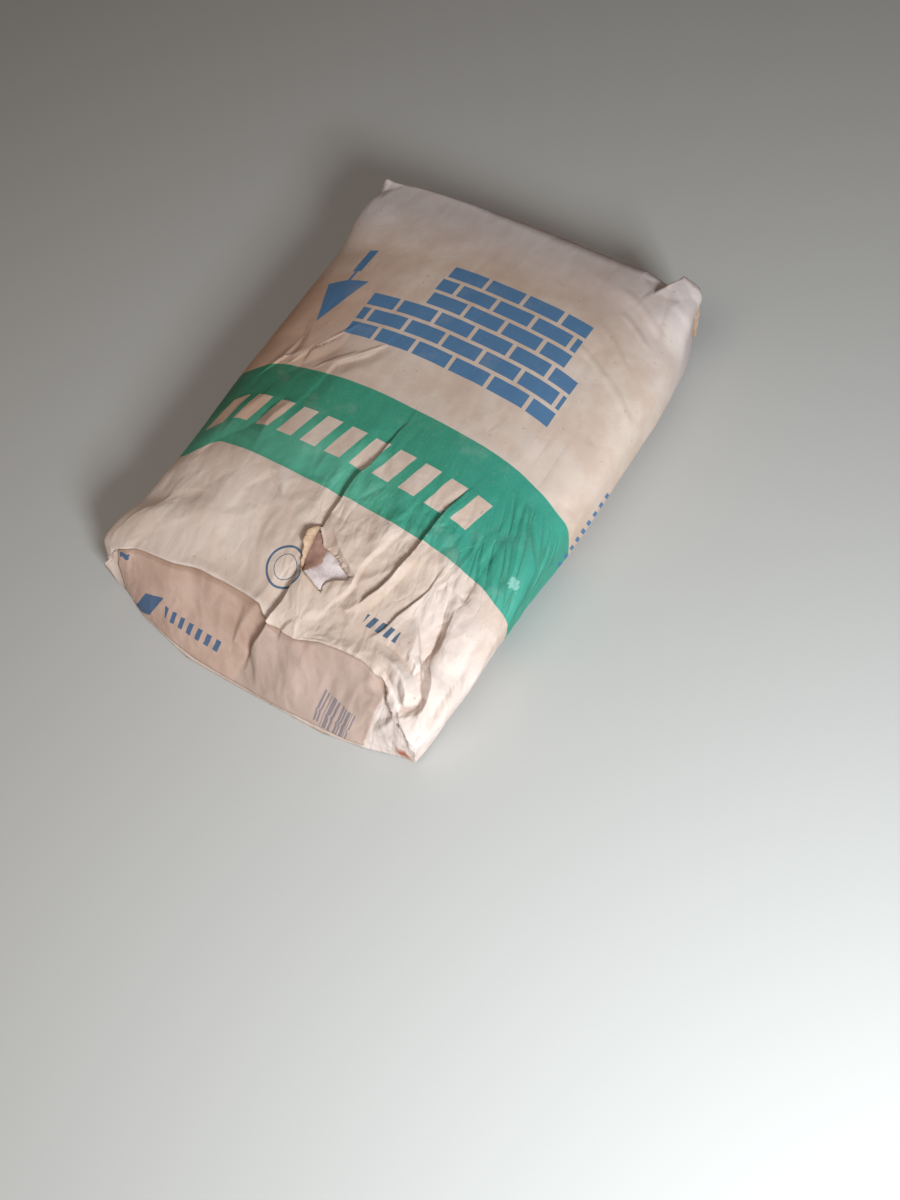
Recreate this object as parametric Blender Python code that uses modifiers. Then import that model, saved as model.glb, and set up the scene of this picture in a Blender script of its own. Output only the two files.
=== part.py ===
"""A filled 25 kg cement bag, lying on its back on the floor.

The bag is a pasted valve sack: a kraft paper tube with a folded block at each end, a plastic film ply
inside the paper, a paper patch pasted over each block, and a flat paper sleeve that is the filling valve.
X runs across the bag, Y along it towards the valve end, and Z up from the floor. Metres.
"""

import math

import bmesh
import bpy
from mathutils import Matrix, Vector

# The filled bag
BAG_LENGTH = 0.574
BAG_WIDTH = 0.412
BAG_HEIGHT = 0.108
SIDE_ROUND = (0.013, 0.024)  # how far the left and right sides bulge past the edge of the top
SIDE_LOW, SIDE_HIGH = 0.020, 0.083  # where the round of a long side begins and ends
FLAT_SHARE = 0.60  # the share of the underside, each way, that lies flat on the floor

# The layers, from the outside in
PAPER = 0.0004
FILM = 0.0003
GAP = 0.0003  # between pieces that touch

# The valve end, a full square block
VALVE_INSETS = (0.002, 0.029)  # how far its left and right corners stand in from the long sides
VALVE_END_LOW = 0.006  # the height of its lower edge at the corners
VALVE_END_HIGH = (0.090, 0.082)  # the height of its left and right upper corners
VALVE_END_CROWN = 0.008
VALVE_END_BULGE = 0.005

# The patched end, which slopes back because the fill has settled away from it
SLOPE_INSETS = (0.003, 0.021)
SLOPE_HEIGHT = 0.074  # the height of its upper edge in the middle
SLOPE_DEPTH = 0.072  # how far its upper edge stands back from its lower edge
SLOPE_BOW = 0.026  # how far its lower edge bows out between the corners
LEFT_EAR = (0.010, 0.054)  # the lowest and highest point of each corner fold
RIGHT_EAR = (0.006, 0.040)

# The long fold in the front, from the middle of the bag past the tear to the sloping end
FOLD_AT = 0.04  # its place across the front, as a share of half the width
FOLD_DEPTH = 0.011
FOLD_STARTS = -0.05

# The tear in the front: its middle, and its ragged edge about that middle
TEAR_AT = (0.032, -0.166)
TEAR_EDGE = (
    (-0.022, 0.025),
    (-0.020, 0.008),
    (-0.018, -0.004),
    (-0.010, -0.016),
    (-0.002, -0.016),
    (0.018, -0.022),
    (0.016, -0.017),
    (0.023, -0.008),
    (0.036, -0.004),
    (0.020, 0.009),
    (0.011, 0.014),
    (-0.007, 0.019),
)

# The end patches
PATCH_MARGIN = 0.12  # the border of the block that stays bare, as a share of its half height
PATCH = 0.0004

# The valve sleeve, a flattened tube that lies along the inside of its end
SLEEVE_WIDTH = 0.056
SLEEVE_LENGTH = 0.100
SLEEVE_MOUTH = 0.0032  # the gap between its two walls
SLEEVE_WALL = 0.0006
SLEEVE_SETBACK = 0.012  # from the end of the bag to the middle of the sleeve
SLEEVE_LIP = 0.009  # how far its mouth stands past the corner

# The cage that the bag is formed from
CUTS_ACROSS = (-0.86, -FLAT_SHARE, -0.22, FOLD_AT, 0.24, FLAT_SHARE, 0.86)
CUTS_ALONG = (-0.88, -0.74, -FLAT_SHARE, -0.35, 0.0, 0.35, FLAT_SHARE, 0.86)
END_SPAN = 0.62  # how far along the bag an end's square shape fades into the round middle
RIM_CREASE = 0.8  # how sharp the folded edges of the two ends are

KRAFT = (0.73, 0.56, 0.42, 1.0)
KRAFT_PATCH = (0.66, 0.47, 0.33, 1.0)
FILM_WHITE = (0.72, 0.68, 0.70, 1.0)
CEMENT_GREY = (0.42, 0.42, 0.40, 1.0)

BARE, SLOPE_PATCH, VALVE_PATCH = range(3)


def mix(a, b, share):
    return a + (b - a) * share


def ease(share):
    share = min(max(share, 0.0), 1.0)
    return share * share * (3.0 - 2.0 * share)


def collection(name):
    made = bpy.data.collections.new(name)
    bpy.context.scene.collection.children.link(made)
    return made


def material(name, colour, roughness):
    made = bpy.data.materials.new(name)
    made.use_nodes = True
    shader = made.node_tree.nodes["Principled BSDF"]
    shader.inputs["Base Color"].default_value = colour
    shader.inputs["Roughness"].default_value = roughness
    shader.inputs["Metallic"].default_value = 0.0
    return made


def fold_at(u, y):
    """The depth of the long fold below a point of the front."""
    near = max(1.0 - abs(u - FOLD_AT) / 0.2, 0.0)
    return FOLD_DEPTH * ease(near) * ease((FOLD_STARTS - y) / 0.06)


def formed(u, v, w):
    """Where a point of the cage goes. u, v and w run from -1 to 1 across, along and up."""
    at_end = ease((abs(v) - END_SPAN) / (1.0 - END_SPAN))
    right = 0.5 + 0.5 * u
    if v > 0:
        low, high, crown, insets = VALVE_END_LOW, mix(*VALVE_END_HIGH, right), VALVE_END_CROWN, VALVE_INSETS
    else:
        low, high = mix(LEFT_EAR[0], RIGHT_EAR[0], right), mix(LEFT_EAR[1], RIGHT_EAR[1], right)
        crown, insets = SLOPE_HEIGHT - high, SLOPE_INSETS
    low, high = mix(SIDE_LOW, low, at_end), mix(SIDE_HIGH, high, at_end)
    crown = mix(BAG_HEIGHT - SIDE_HIGH, crown, at_end)

    left_tuck, right_tuck = [tuck * (1.0 - at_end) for tuck in SIDE_ROUND]
    left_side, right_side = [BAG_WIDTH / 2 - inset * v ** 4 for inset in insets]
    x = mix(left_tuck - left_side, right_side - right_tuck, right)
    if abs(u) == 1:
        x += (right_tuck if u > 0 else -left_tuck) * (1.0 - w * w)

    top = high + crown * (1.0 - abs(u) ** 2.4)
    over = [max(abs(part) - FLAT_SHARE, 0.0) / (1.0 - FLAT_SHARE) for part in (u, v)]
    bottom = low * max(over[0] ** 2, over[1] * abs(u) ** 3)
    z = mix(bottom, top, 0.5 + 0.5 * w)

    if v > 0:
        y = v * (BAG_LENGTH / 2 - VALVE_END_BULGE * (1.0 - at_end * (1.0 - u * u)))
    else:
        reach = BAG_LENGTH / 2 - SLOPE_BOW * u * u * (0.5 - 0.5 * w)
        back = SLOPE_DEPTH * (0.5 + 0.5 * w) * (1.0 - 0.55 * u * u)
        y = v * reach + back * at_end
    if w == 1:
        z -= fold_at(u, y)
    return Vector((x, y, z))


def bag_form():
    """The outer surface of the filled bag, as a closed mesh."""
    bm = bmesh.new()
    bmesh.ops.create_cube(bm, size=2.0)
    patch_cuts = (-1.0 + PATCH_MARGIN, 0.0, 1.0 - PATCH_MARGIN)
    for axis, cuts in enumerate((CUTS_ACROSS, CUTS_ALONG, patch_cuts)):
        normal = Vector([float(i == axis) for i in range(3)])
        for cut in cuts:
            everything = bm.verts[:] + bm.edges[:] + bm.faces[:]
            bmesh.ops.bisect_plane(bm, geom=everything, plane_co=normal * cut, plane_no=normal)
    for face in bm.faces:
        middle = face.calc_center_median()
        if abs(middle.z) < 1.0 - PATCH_MARGIN and abs(middle.x) < CUTS_ACROSS[-1] and abs(middle.y) == 1.0:
            face.material_index = SLOPE_PATCH if middle.y < 0 else VALVE_PATCH
    crease = bm.edges.layers.float.new("crease_edge")
    for edge in bm.edges:
        ends = [vert.co for vert in edge.verts]
        if all(abs(co.y) == 1.0 and (abs(co.x) == 1.0 or abs(co.z) == 1.0) for co in ends):
            on_rim = (ends[0] + ends[1]) / 2
            if abs(on_rim.x) == 1.0 or abs(on_rim.z) == 1.0:
                edge[crease] = RIM_CREASE
    places = [formed(*(round(value, 6) for value in vert.co)) for vert in bm.verts]
    for vert, place in zip(bm.verts, places):
        vert.co = place
    cage = bpy.data.meshes.new("cage")
    bm.to_mesh(cage)
    bm.free()

    former = bpy.data.objects.new("former", cage)
    bpy.context.scene.collection.objects.link(former)
    smooth = former.modifiers.new("Smooth", "SUBSURF")
    smooth.levels = smooth.render_levels = 1
    # Split here, so that every layer has the same diagonals and none can cross another
    former.modifiers.new("Triangles", "TRIANGULATE")
    form = evaluated_mesh(former, "bag_form")
    bpy.data.objects.remove(former)
    # The smoothing draws the form in a little, so it is let out to its sizes again
    patch_stands = GAP + PATCH
    spans = ((BAG_WIDTH / -2, BAG_WIDTH / 2), (BAG_LENGTH / -2, BAG_LENGTH / 2 - patch_stands), (0.0, BAG_HEIGHT))
    for axis, (start, end) in enumerate(spans):
        places = [vert.co[axis] for vert in form.vertices]
        low, high = min(places), max(places)
        for vert in form.vertices:
            vert.co[axis] = mix(start, end, (vert.co[axis] - low) / (high - low))
    return form


def evaluated_mesh(source, name):
    bpy.context.view_layer.update()
    graph = bpy.context.evaluated_depsgraph_get()
    made = bpy.data.meshes.new_from_object(source.evaluated_get(graph))
    made.name = name
    return made


def sunk(form, depth, keep=None):
    """A copy of the form, sunk evenly under its surface, or only its faces with the index keep."""
    bm = bmesh.new()
    bm.from_mesh(form)
    bm.normal_update()
    moves = [vert.normal * vert.calc_shell_factor() * depth for vert in bm.verts]
    for vert, move in zip(bm.verts, moves):
        vert.co -= move
    if keep is not None:
        others = [face for face in bm.faces if face.material_index != keep]
        bmesh.ops.delete(bm, geom=others, context="FACES")
    made = bpy.data.meshes.new("layer")
    bm.to_mesh(made)
    bm.free()
    return made


def ply(form, outer, inner):
    """A closed skin of the bag between two depths under its surface."""
    bm = bmesh.new()
    for depth in (outer, inner):
        side = sunk(form, depth)
        bm.from_mesh(side)
        bpy.data.meshes.remove(side)
    bm.faces.ensure_lookup_table()
    bmesh.ops.reverse_faces(bm, faces=bm.faces[len(bm.faces) // 2:])
    made = bpy.data.meshes.new("ply")
    bm.to_mesh(made)
    bm.free()
    return made


def piece(name, mesh, finish, into):
    mesh.name = name
    mesh.materials.clear()
    mesh.materials.append(finish)
    for face in mesh.polygons:
        face.material_index = 0
    made = bpy.data.objects.new(name, mesh)
    into.objects.link(made)
    mesh.shade_smooth()
    mesh.set_sharp_from_angle(angle=math.radians(50))
    return made


def cut(target, cutter):
    hole = target.modifiers.new(cutter.name, "BOOLEAN")
    hole.operation = "DIFFERENCE"
    hole.object = cutter


def prism(name, outlines, depth, place, into):
    """A straight prism with these flat outlines, the first one outside and any others its bores."""
    curve = bpy.data.curves.new(name, "CURVE")
    curve.dimensions = "2D"
    curve.fill_mode = "BOTH"
    curve.extrude = depth / 2
    for outline in outlines:
        line = curve.splines.new("POLY")
        line.points.add(len(outline) - 1)
        for point, (x, y) in zip(line.points, outline):
            point.co = (x, y, 0.0, 1.0)
        line.use_cyclic_u = True
    drawn = bpy.data.objects.new(name + "_outline", curve)
    bpy.context.scene.collection.objects.link(drawn)
    mesh = evaluated_mesh(drawn, name)
    bpy.data.objects.remove(drawn)
    bm = bmesh.new()
    bm.from_mesh(mesh)
    bmesh.ops.remove_doubles(bm, verts=bm.verts[:], dist=1e-6)
    bmesh.ops.recalc_face_normals(bm, faces=bm.faces[:])
    bm.to_mesh(mesh)
    bm.free()
    made = bpy.data.objects.new(name, mesh)
    made.matrix_world = place
    into.objects.link(made)
    return made


def hide(helper):
    helper.hide_render = True
    helper.display_type = "WIRE"
    return helper


def slot_outline(long, short, steps=5):
    """A slot with round ends, long along its first axis."""
    radius = short / 2
    reach = long / 2 - radius
    turns = [math.pi * (step / steps - 0.5) for step in range(steps + 1)]
    right = [(reach + radius * math.cos(t), radius * math.sin(t)) for t in turns]
    return right + [(-x, -y) for x, y in right]


def valve_place():
    """The sleeve's middle: its length across the bag, its width upright."""
    middle = Vector((
        BAG_WIDTH / 2 - VALVE_INSETS[1] + SLEEVE_LIP - SLEEVE_LENGTH / 2,
        BAG_LENGTH / 2 - SLEEVE_SETBACK,
        (VALVE_END_LOW + VALVE_END_HIGH[1]) / 2,
    ))
    turn = Matrix(((0, 0, 1), (0, -1, 0), (1, 0, 0))).to_4x4()
    return Matrix.Translation(middle) @ turn


def build():
    for old in list(bpy.data.objects):
        bpy.data.objects.remove(old)
    bag = collection("cement_bag")
    cutters = collection("cutters")
    kraft = material("kraft_paper", KRAFT, 0.85)
    patch_paper = material("patch_paper", KRAFT_PATCH, 0.88)
    film_white = material("liner_film", FILM_WHITE, 0.45)
    cement = material("cement", CEMENT_GREY, 0.95)

    thick = SLEEVE_MOUTH + 2 * SLEEVE_WALL
    tube = [slot_outline(SLEEVE_WIDTH, thick), slot_outline(SLEEVE_WIDTH - 2 * SLEEVE_WALL, SLEEVE_MOUTH)]
    clear = [slot_outline(SLEEVE_WIDTH + 2 * GAP, thick + 2 * GAP)]
    sleeve = prism("valve_sleeve", tube, SLEEVE_LENGTH, valve_place(), bag)
    sleeve.data.materials.append(kraft)
    slot = hide(prism("sleeve_slot", clear, SLEEVE_LENGTH + 2 * GAP, valve_place(), cutters))

    above = Matrix.Translation((*TEAR_AT, BAG_HEIGHT))
    tear = hide(prism("tear_hole", [TEAR_EDGE], BAG_HEIGHT, above, cutters))

    form = bag_form()
    depth = PAPER + GAP
    sack = piece("paper_sack", ply(form, 0.0, PAPER), kraft, bag)
    cut(sack, slot)
    cut(sack, tear)

    film = piece("liner_film", ply(form, depth, depth + FILM), film_white, bag)
    cut(film, slot)

    fill = piece("cement_fill", sunk(form, depth + FILM + GAP), cement, bag)
    cut(fill, slot)

    for name, index in (("end_patch", SLOPE_PATCH), ("valve_end_patch", VALVE_PATCH)):
        patch = piece(name, sunk(form, -GAP, keep=index), patch_paper, bag)
        wall = patch.modifiers.new("Wall", "SOLIDIFY")
        wall.thickness = PATCH
        wall.offset = 1.0
        wall.use_even_offset = True
    bpy.data.meshes.remove(form)


build()
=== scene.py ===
"""A filled 25 kg cement bag lying on its back: kraft paper over a plastic liner, slack and torn in front.

X runs across the bag, Y along it towards the valve end, and Z up from the floor. A length whose unit isn't
given is in metres.
"""

import math

import bpy
import numpy as np
from mathutils import Matrix, Vector, geometry


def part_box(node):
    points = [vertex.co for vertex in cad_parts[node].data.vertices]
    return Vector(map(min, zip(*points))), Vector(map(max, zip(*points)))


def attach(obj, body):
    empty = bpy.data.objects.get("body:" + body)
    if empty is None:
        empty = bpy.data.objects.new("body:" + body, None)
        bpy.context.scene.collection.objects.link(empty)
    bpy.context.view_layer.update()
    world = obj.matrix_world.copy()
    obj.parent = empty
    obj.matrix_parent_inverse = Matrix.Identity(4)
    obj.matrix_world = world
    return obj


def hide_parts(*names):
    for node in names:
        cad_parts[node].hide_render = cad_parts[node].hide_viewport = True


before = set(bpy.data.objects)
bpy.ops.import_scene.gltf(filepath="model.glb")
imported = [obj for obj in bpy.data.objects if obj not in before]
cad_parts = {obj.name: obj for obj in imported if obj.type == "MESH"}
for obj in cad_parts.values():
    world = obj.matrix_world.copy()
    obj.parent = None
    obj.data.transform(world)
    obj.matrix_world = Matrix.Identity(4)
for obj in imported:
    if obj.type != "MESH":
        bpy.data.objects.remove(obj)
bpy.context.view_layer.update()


def new_object(name, data):
    """An object in the scene, at its origin."""
    made = bpy.data.objects.new(name, data)
    bpy.context.scene.collection.objects.link(made)
    return made


# The camera stands off the near right corner and looks down on the bag at about 60 degrees. It is held a
# little turned about its own axis.
camera_data = bpy.data.cameras.new("camera")
camera_data.sensor_fit = "VERTICAL"
camera_data.sensor_height = 36.0
camera_data.lens = 26.4
camera = new_object("camera", camera_data)
camera.matrix_world = Matrix((
    (0.825954, -0.423532, 0.372049, 0.43724),
    (0.539323, 0.785779, -0.302792, -0.36907),
    (-0.164106, 0.450747, 0.877437, 0.75343),
    (0.0, 0.0, 0.0, 1.0),
))
bpy.context.scene.camera = camera


# The paper sack

# Two plies of pinkish brown kraft paper, glued into a tube and folded into a block at each end. Packed cement
# keeps it full and smooth at the valve end; the near end has settled, so its paper is slack, folded and torn.
MM = 0.001
END_SPAN = 75.0  # how far in from an end its square shape fades, in mm
ON_FACE = 0.999999  # a place on the cube is on one of its faces from here on


def through(at, *points):
    """A smooth curve through points, level beyond the first and the last."""
    place, height = np.array(points, float).T
    slope = np.diff(height) / np.diff(place)
    tangent = np.zeros_like(height)
    same_way = slope[:-1] * slope[1:] > 0
    tangent[1:-1][same_way] = (2 * slope[:-1] * slope[1:])[same_way] / (slope[:-1] + slope[1:])[same_way]
    at = np.clip(at, place[0], place[-1])
    i = np.clip(np.searchsorted(place, at) - 1, 0, len(place) - 2)
    gap = place[i + 1] - place[i]
    s = (at - place[i]) / gap
    level = height[i] * (1 + 2 * s) * (1 - s) ** 2 + height[i + 1] * s * s * (3 - 2 * s)
    return level + gap * s * (1 - s) * (tangent[i] * (1 - s) - tangent[i + 1] * s)


def part_way(distance, reach):
    """How far a distance has come along a reach, 0 to 1."""
    return np.clip(distance / reach, 0, 1)


def bag_surface(a, b, c):
    """Where points of a cube's surface go on the filled bag, in mm: a across, b along and c up, -1 to 1."""
    near_low = through(a, (-1, -262), (-0.72, -279), (-0.3, -290), (0.1, -287), (0.6, -280), (1, -263))
    near_high = through(
        a, (-1, -252), (-0.93, -245), (-0.85, -241), (-0.75, -234), (-0.55, -229), (-0.35, -220),
        (-0.02, -219), (0.05, -229), (0.22, -232), (0.37, -222), (0.55, -217), (0.68, -224), (1, -256),
    )
    far = through(a, (-1, 277), (-0.7, 283), (0, 285), (0.6, 279), (1, 270))
    near = near_low + (near_high - near_low) * (c + 1) / 2
    y = near + (far - near) * (b + 1) / 2

    inland = part_way(np.minimum(y - near, far - y), END_SPAN)
    far_span = END_SPAN + 42.0 * np.clip(-1.5 * a, 0, 1)
    full = np.clip(np.minimum((y - near) / END_SPAN, (far - y) / far_span), 0, 1)
    square = 26.0 * (1 - full) ** 2.2
    edge = np.maximum(np.maximum(np.abs(a), np.abs(c)), 1e-9)
    corner = np.where(c > 0, 3.3, 4.0) + square
    pull = np.maximum((np.abs(a) / edge) ** corner + (np.abs(c) / edge) ** corner, 1) ** (-1 / corner)
    p, q = a * pull, c * pull

    left = through(
        y, (-290, 206), (-252, 206), (-240, 212), (-225, 209), (-190, 204), (-160, 200), (-120, 196),
        (0, 202), (100, 206), (170, 208), (225, 207), (268, 204), (287, 209),
    )
    right = through(
        y, (-290, 182), (-262, 185), (-215, 196), (-120, 202), (0, 206), (140, 207), (200, 203), (258, 189),
        (287, 178),
    )
    x = p * np.where(p < 0, left, right)
    tucked = through(y, (-262, 3), (-215, 11), (-120, 11), (0, 0))
    x = x - tucked * np.clip(p, 0, 1) ** 2 * ((1 - q) / 2) ** 1.4
    ear = through(c, (-1, 1), (0, 3), (0.45, 5), (0.75, -2), (1, -1))
    ear = ear * np.clip(-p, 0, 1) ** 6 * np.exp((near - y) / 14)
    x, y = x - ear, y - 0.5 * ear

    middle = through(
        y, (-290, 58), (-245, 70), (-215, 80), (-170, 94), (-100, 104), (0, 108), (120, 108), (220, 103),
        (287, 97),
    )
    left_top = through(
        y, (-290, 38), (-254, 43), (-240, 60), (-200, 80), (-120, 97), (0, 103), (160, 105), (230, 101),
        (287, 95),
    )
    right_top = through(
        y, (-290, 34), (-262, 38), (-215, 62), (-150, 86), (-60, 99), (60, 103), (200, 96), (287, 83),
    )
    high = middle + (np.where(p < 0, left_top, right_top) - middle) * np.abs(p) ** 2.4
    low = through(y, (-290, 6), (-200, 0), (200, 0), (287, 6)) * np.abs(p) ** 4 * (1 - inland)
    z = low + (high - low) * (q + 1) / 2
    pressed = z - 3.2 * inland
    pressed = 0.5 * (pressed + np.sqrt(pressed**2 + 1.0))
    z = np.where(q < 0, pressed * inland + z * (1 - inland), z)

    # The far end's upper edge is rolled over.
    roll = through(
        a, (-1, 2), (-0.75, 4), (-0.45, 9), (-0.2, 17), (0.3, 26), (0.6, 22), (0.8, 10), (0.9, 3), (1, 3),
    )
    on_far = b > ON_FACE
    front = np.clip(1 - (far - y) / roll, 0, 1) * (c > ON_FACE) * np.pi / 4
    back = (1 - np.clip(1 - (1 - c) / 2 * high / roll, 0, 1)) * on_far * np.pi / 4
    turn = np.where(on_far, np.pi / 4 + back, front)
    over = np.where(on_far, (1 - c) / 2 * high < roll, front > 0)
    y = np.where(over, far - roll * (1 - np.sin(turn)), y)
    z = np.where(over, high - roll * (1 - np.cos(turn)), z)

    bulge = 5.0 * (1 - np.abs(a) ** 2.5) * (1 - np.abs(c) ** 2)
    y = y + bulge * ((b > ON_FACE) * 1.0 - (b < -ON_FACE) * 1.0)
    z = z + 0.6 * bulge * (b < -ON_FACE)
    return np.stack([x, y, z], -1)


def box_sheet(lines):
    """A closed box of squares on three sets of lines: its corners, their line numbers, its squares, their
    sides.
    """
    across, along, up = (len(line) - 1 for line in lines)
    number, squares, sides = {}, [], []

    def square(side, *places):
        squares.append([number.setdefault(place, len(number)) for place in places])
        sides.append(side)

    for i in range(across):
        for j in range(along):
            square("front", (i, j, up), (i + 1, j, up), (i + 1, j + 1, up), (i, j + 1, up))
            square("back", (i, j, 0), (i, j + 1, 0), (i + 1, j + 1, 0), (i + 1, j, 0))
    for j in range(along):
        for k in range(up):
            square("right", (across, j, k), (across, j + 1, k), (across, j + 1, k + 1), (across, j, k + 1))
            square("left", (0, j, k), (0, j, k + 1), (0, j + 1, k + 1), (0, j + 1, k))
    for i in range(across):
        for k in range(up):
            square("near", (i, 0, k), (i + 1, 0, k), (i + 1, 0, k + 1), (i, 0, k + 1))
            square("far", (i, along, k), (i, along, k + 1), (i + 1, along, k + 1), (i + 1, along, k))
    which = np.array(list(number))
    corners = np.stack([line[which[:, n]] for n, line in enumerate(lines)], -1)
    return corners, which, np.array(squares), np.array(sides)


def finer(line):
    """The same line with a new point between each two."""
    new = np.empty(2 * len(line) - 1)
    new[::2], new[1::2] = line, (line[:-1] + line[1:]) / 2
    return new


def spread_to_finer(values, which, which_fine):
    """Values at the corners of a sheet, carried to the sheet with twice its lines."""
    at = np.full(tuple(which.max(0) + 1) + values.shape[1:], np.nan)
    at[tuple(which.T)] = values
    low, high = which_fine // 2, (which_fine + 1) // 2
    total = np.zeros((len(which_fine),) + values.shape[1:])
    for pick in range(8):
        index = tuple(np.where(pick >> n & 1, high[:, n], low[:, n]) for n in range(3))
        total += at[index]
    return total / 8


def outward(places, squares):
    """The direction out of the sheet at each of its corners."""
    a, b, c, d = (places[squares[:, n]] for n in range(4))
    faces = np.cross(c - a, d - b)
    total = np.zeros_like(places)
    for n in range(4):
        np.add.at(total, squares[:, n], faces)
    return total / np.maximum(np.linalg.norm(total, axis=1), 1e-12)[:, None]


def smoothed(values, squares, rounds):
    """Values at corners, each moved towards the mean of its neighbours, several times."""
    pairs = np.concatenate([squares[:, [n, (n + 1) % 4]] for n in range(4)])
    count = np.bincount(pairs[:, 0], minlength=len(values)) + np.bincount(pairs[:, 1], minlength=len(values))
    count = np.maximum(count, 1).reshape((-1,) + (1,) * (values.ndim - 1))
    for _ in range(rounds):
        total = np.zeros_like(values)
        np.add.at(total, pairs[:, 0], values[pairs[:, 1]])
        np.add.at(total, pairs[:, 1], values[pairs[:, 0]])
        values = 0.5 * values + 0.5 * total / count
    return values


def flat_print(places, which, middle, zero_row):
    """Where each corner was on the flat paper, in mm: round the tube from the front's middle, and along it.

    The second result is for the two ends, whose paper carries on over the edge from the front.
    """
    across, along, up = which.max(0)
    grid = np.full((across + 1, along + 1, up + 1, 3), np.nan)
    grid[tuple(which.T)] = places
    flat = np.full((across + 1, along + 1, up + 1, 2), np.nan)
    for way, side in ((1, across), (-1, 0)):
        ring = [(i, up) for i in range(middle, side, way)] + [(side, k) for k in range(up, 0, -1)]
        ring = np.array(ring + [(i, 0) for i in range(side, middle - way, -way)])
        tube = grid[ring[:, 0], :, ring[:, 1]]
        steps = np.linalg.norm(np.diff(tube, axis=0), axis=2)
        round_tube = np.concatenate([np.zeros((1, tube.shape[1])), np.cumsum(steps, axis=0)])
        steps = np.linalg.norm(np.diff(tube, axis=1), axis=2)
        along_tube = np.concatenate([np.zeros((len(ring), 1)), np.cumsum(steps, axis=1)], axis=1)
        flat[ring[:, 0], :, ring[:, 1], 0] = way * round_tube
        along_tube += tube[:, [zero_row], 1] - along_tube[:, [zero_row]]
        flat[ring[:, 0], :, ring[:, 1], 1] = along_tube
    ends = np.full_like(flat, np.nan)
    for row, way in ((0, -1), (along, 1)):
        steps = np.linalg.norm(np.diff(grid[:, row], axis=1), axis=2)[:, ::-1]
        fall = np.concatenate([np.zeros((across + 1, 1)), np.cumsum(steps, axis=1)], axis=1)[:, ::-1]
        ends[:, row, :, 0] = flat[:, row, up, 0][:, None]
        ends[:, row, :, 1] = flat[:, row, up, 1][:, None] + way * fall
    return flat[tuple(which.T)], ends[tuple(which.T)]


def sheet_object(name, places, squares, prints=None, creased=None):
    """A new object from places, with where each is on the print and how far it is creased, all in mm."""
    used, squares = np.unique(squares, return_inverse=True)
    squares = squares.reshape(-1, 4)
    mesh = bpy.data.meshes.new(name)
    mesh.from_pydata((places[used] * MM).tolist(), [], squares.tolist())
    if prints is not None:
        layer = mesh.uv_layers.new(name="flat")
        layer.data.foreach_set("uv", (prints * MM).astype(np.float32).ravel())
    if creased is not None:
        heights = mesh.attributes.new("creased", "FLOAT", "POINT")
        heights.data.foreach_set("value", creased[used].astype(np.float32))
    mesh.shade_smooth()
    return new_object(name, mesh)


def off_line(x, y, points):
    """How far each place is to the left of a line of points, and how far along the line it is, 0 to 1."""
    points = np.array(points, float)
    lengths = np.linalg.norm(np.diff(points, axis=0), axis=1)
    nearest = np.full(x.shape, 1e9)
    side = np.zeros_like(x)
    share = np.zeros_like(x)
    for n, (start, end) in enumerate(zip(points[:-1], points[1:])):
        run = (end - start) / lengths[n]
        dx, dy = x - start[0], y - start[1]
        s = np.clip(dx * run[0] + dy * run[1], 0, lengths[n])
        away = np.hypot(dx - s * run[0], dy - s * run[1])
        closer = away < nearest
        nearest[closer] = away[closer]
        side[closer] = (run[0] * dy - run[1] * dx)[closer]
        share[closer] = ((lengths[:n].sum() + s) / lengths.sum())[closer]
    return np.where(side < 0, -nearest, nearest), share


def folded(x, y, points, edges=()):
    """The height, in mm, of paper that lies in flat facets between points (x, y, height) and sharp edges."""
    points = np.array(points, float)
    net = geometry.delaunay_2d_cdt([Vector(point[:2]) for point in points], list(edges), [], 0, 1e-5)
    corners = np.array([tuple(place) for place in net[0]])
    heights = [
        points[same or [np.argmin(np.linalg.norm(points[:, :2] - place, axis=1))], 2].mean()
        for place, same in zip(corners, net[3])
    ]
    height = np.zeros_like(x)
    order = np.argsort(x)
    in_order = x[order]
    for triangle in net[2]:
        (ax, ay), (bx, by), (cx, cy) = corners[list(triangle)]
        ha, hb, hc = (heights[n] for n in triangle)
        near = order[slice(*np.searchsorted(in_order, (min(ax, bx, cx), max(ax, bx, cx) + 1e-9)))]
        near = near[(y[near] >= min(ay, by, cy)) & (y[near] <= max(ay, by, cy))]
        size = (bx - ax) * (cy - ay) - (cx - ax) * (by - ay)
        if not len(near) or abs(size) < 1e-6:
            continue
        px, py = x[near] - ax, y[near] - ay
        u = (px * (cy - ay) - (cx - ax) * py) / size
        v = ((bx - ax) * py - px * (by - ay)) / size
        hit = (u >= -1e-6) & (v >= -1e-6) & (u + v <= 1 + 1e-6)
        height[near[hit]] = (ha + u * (hb - ha) + v * (hc - ha))[hit]
    return height


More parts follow.
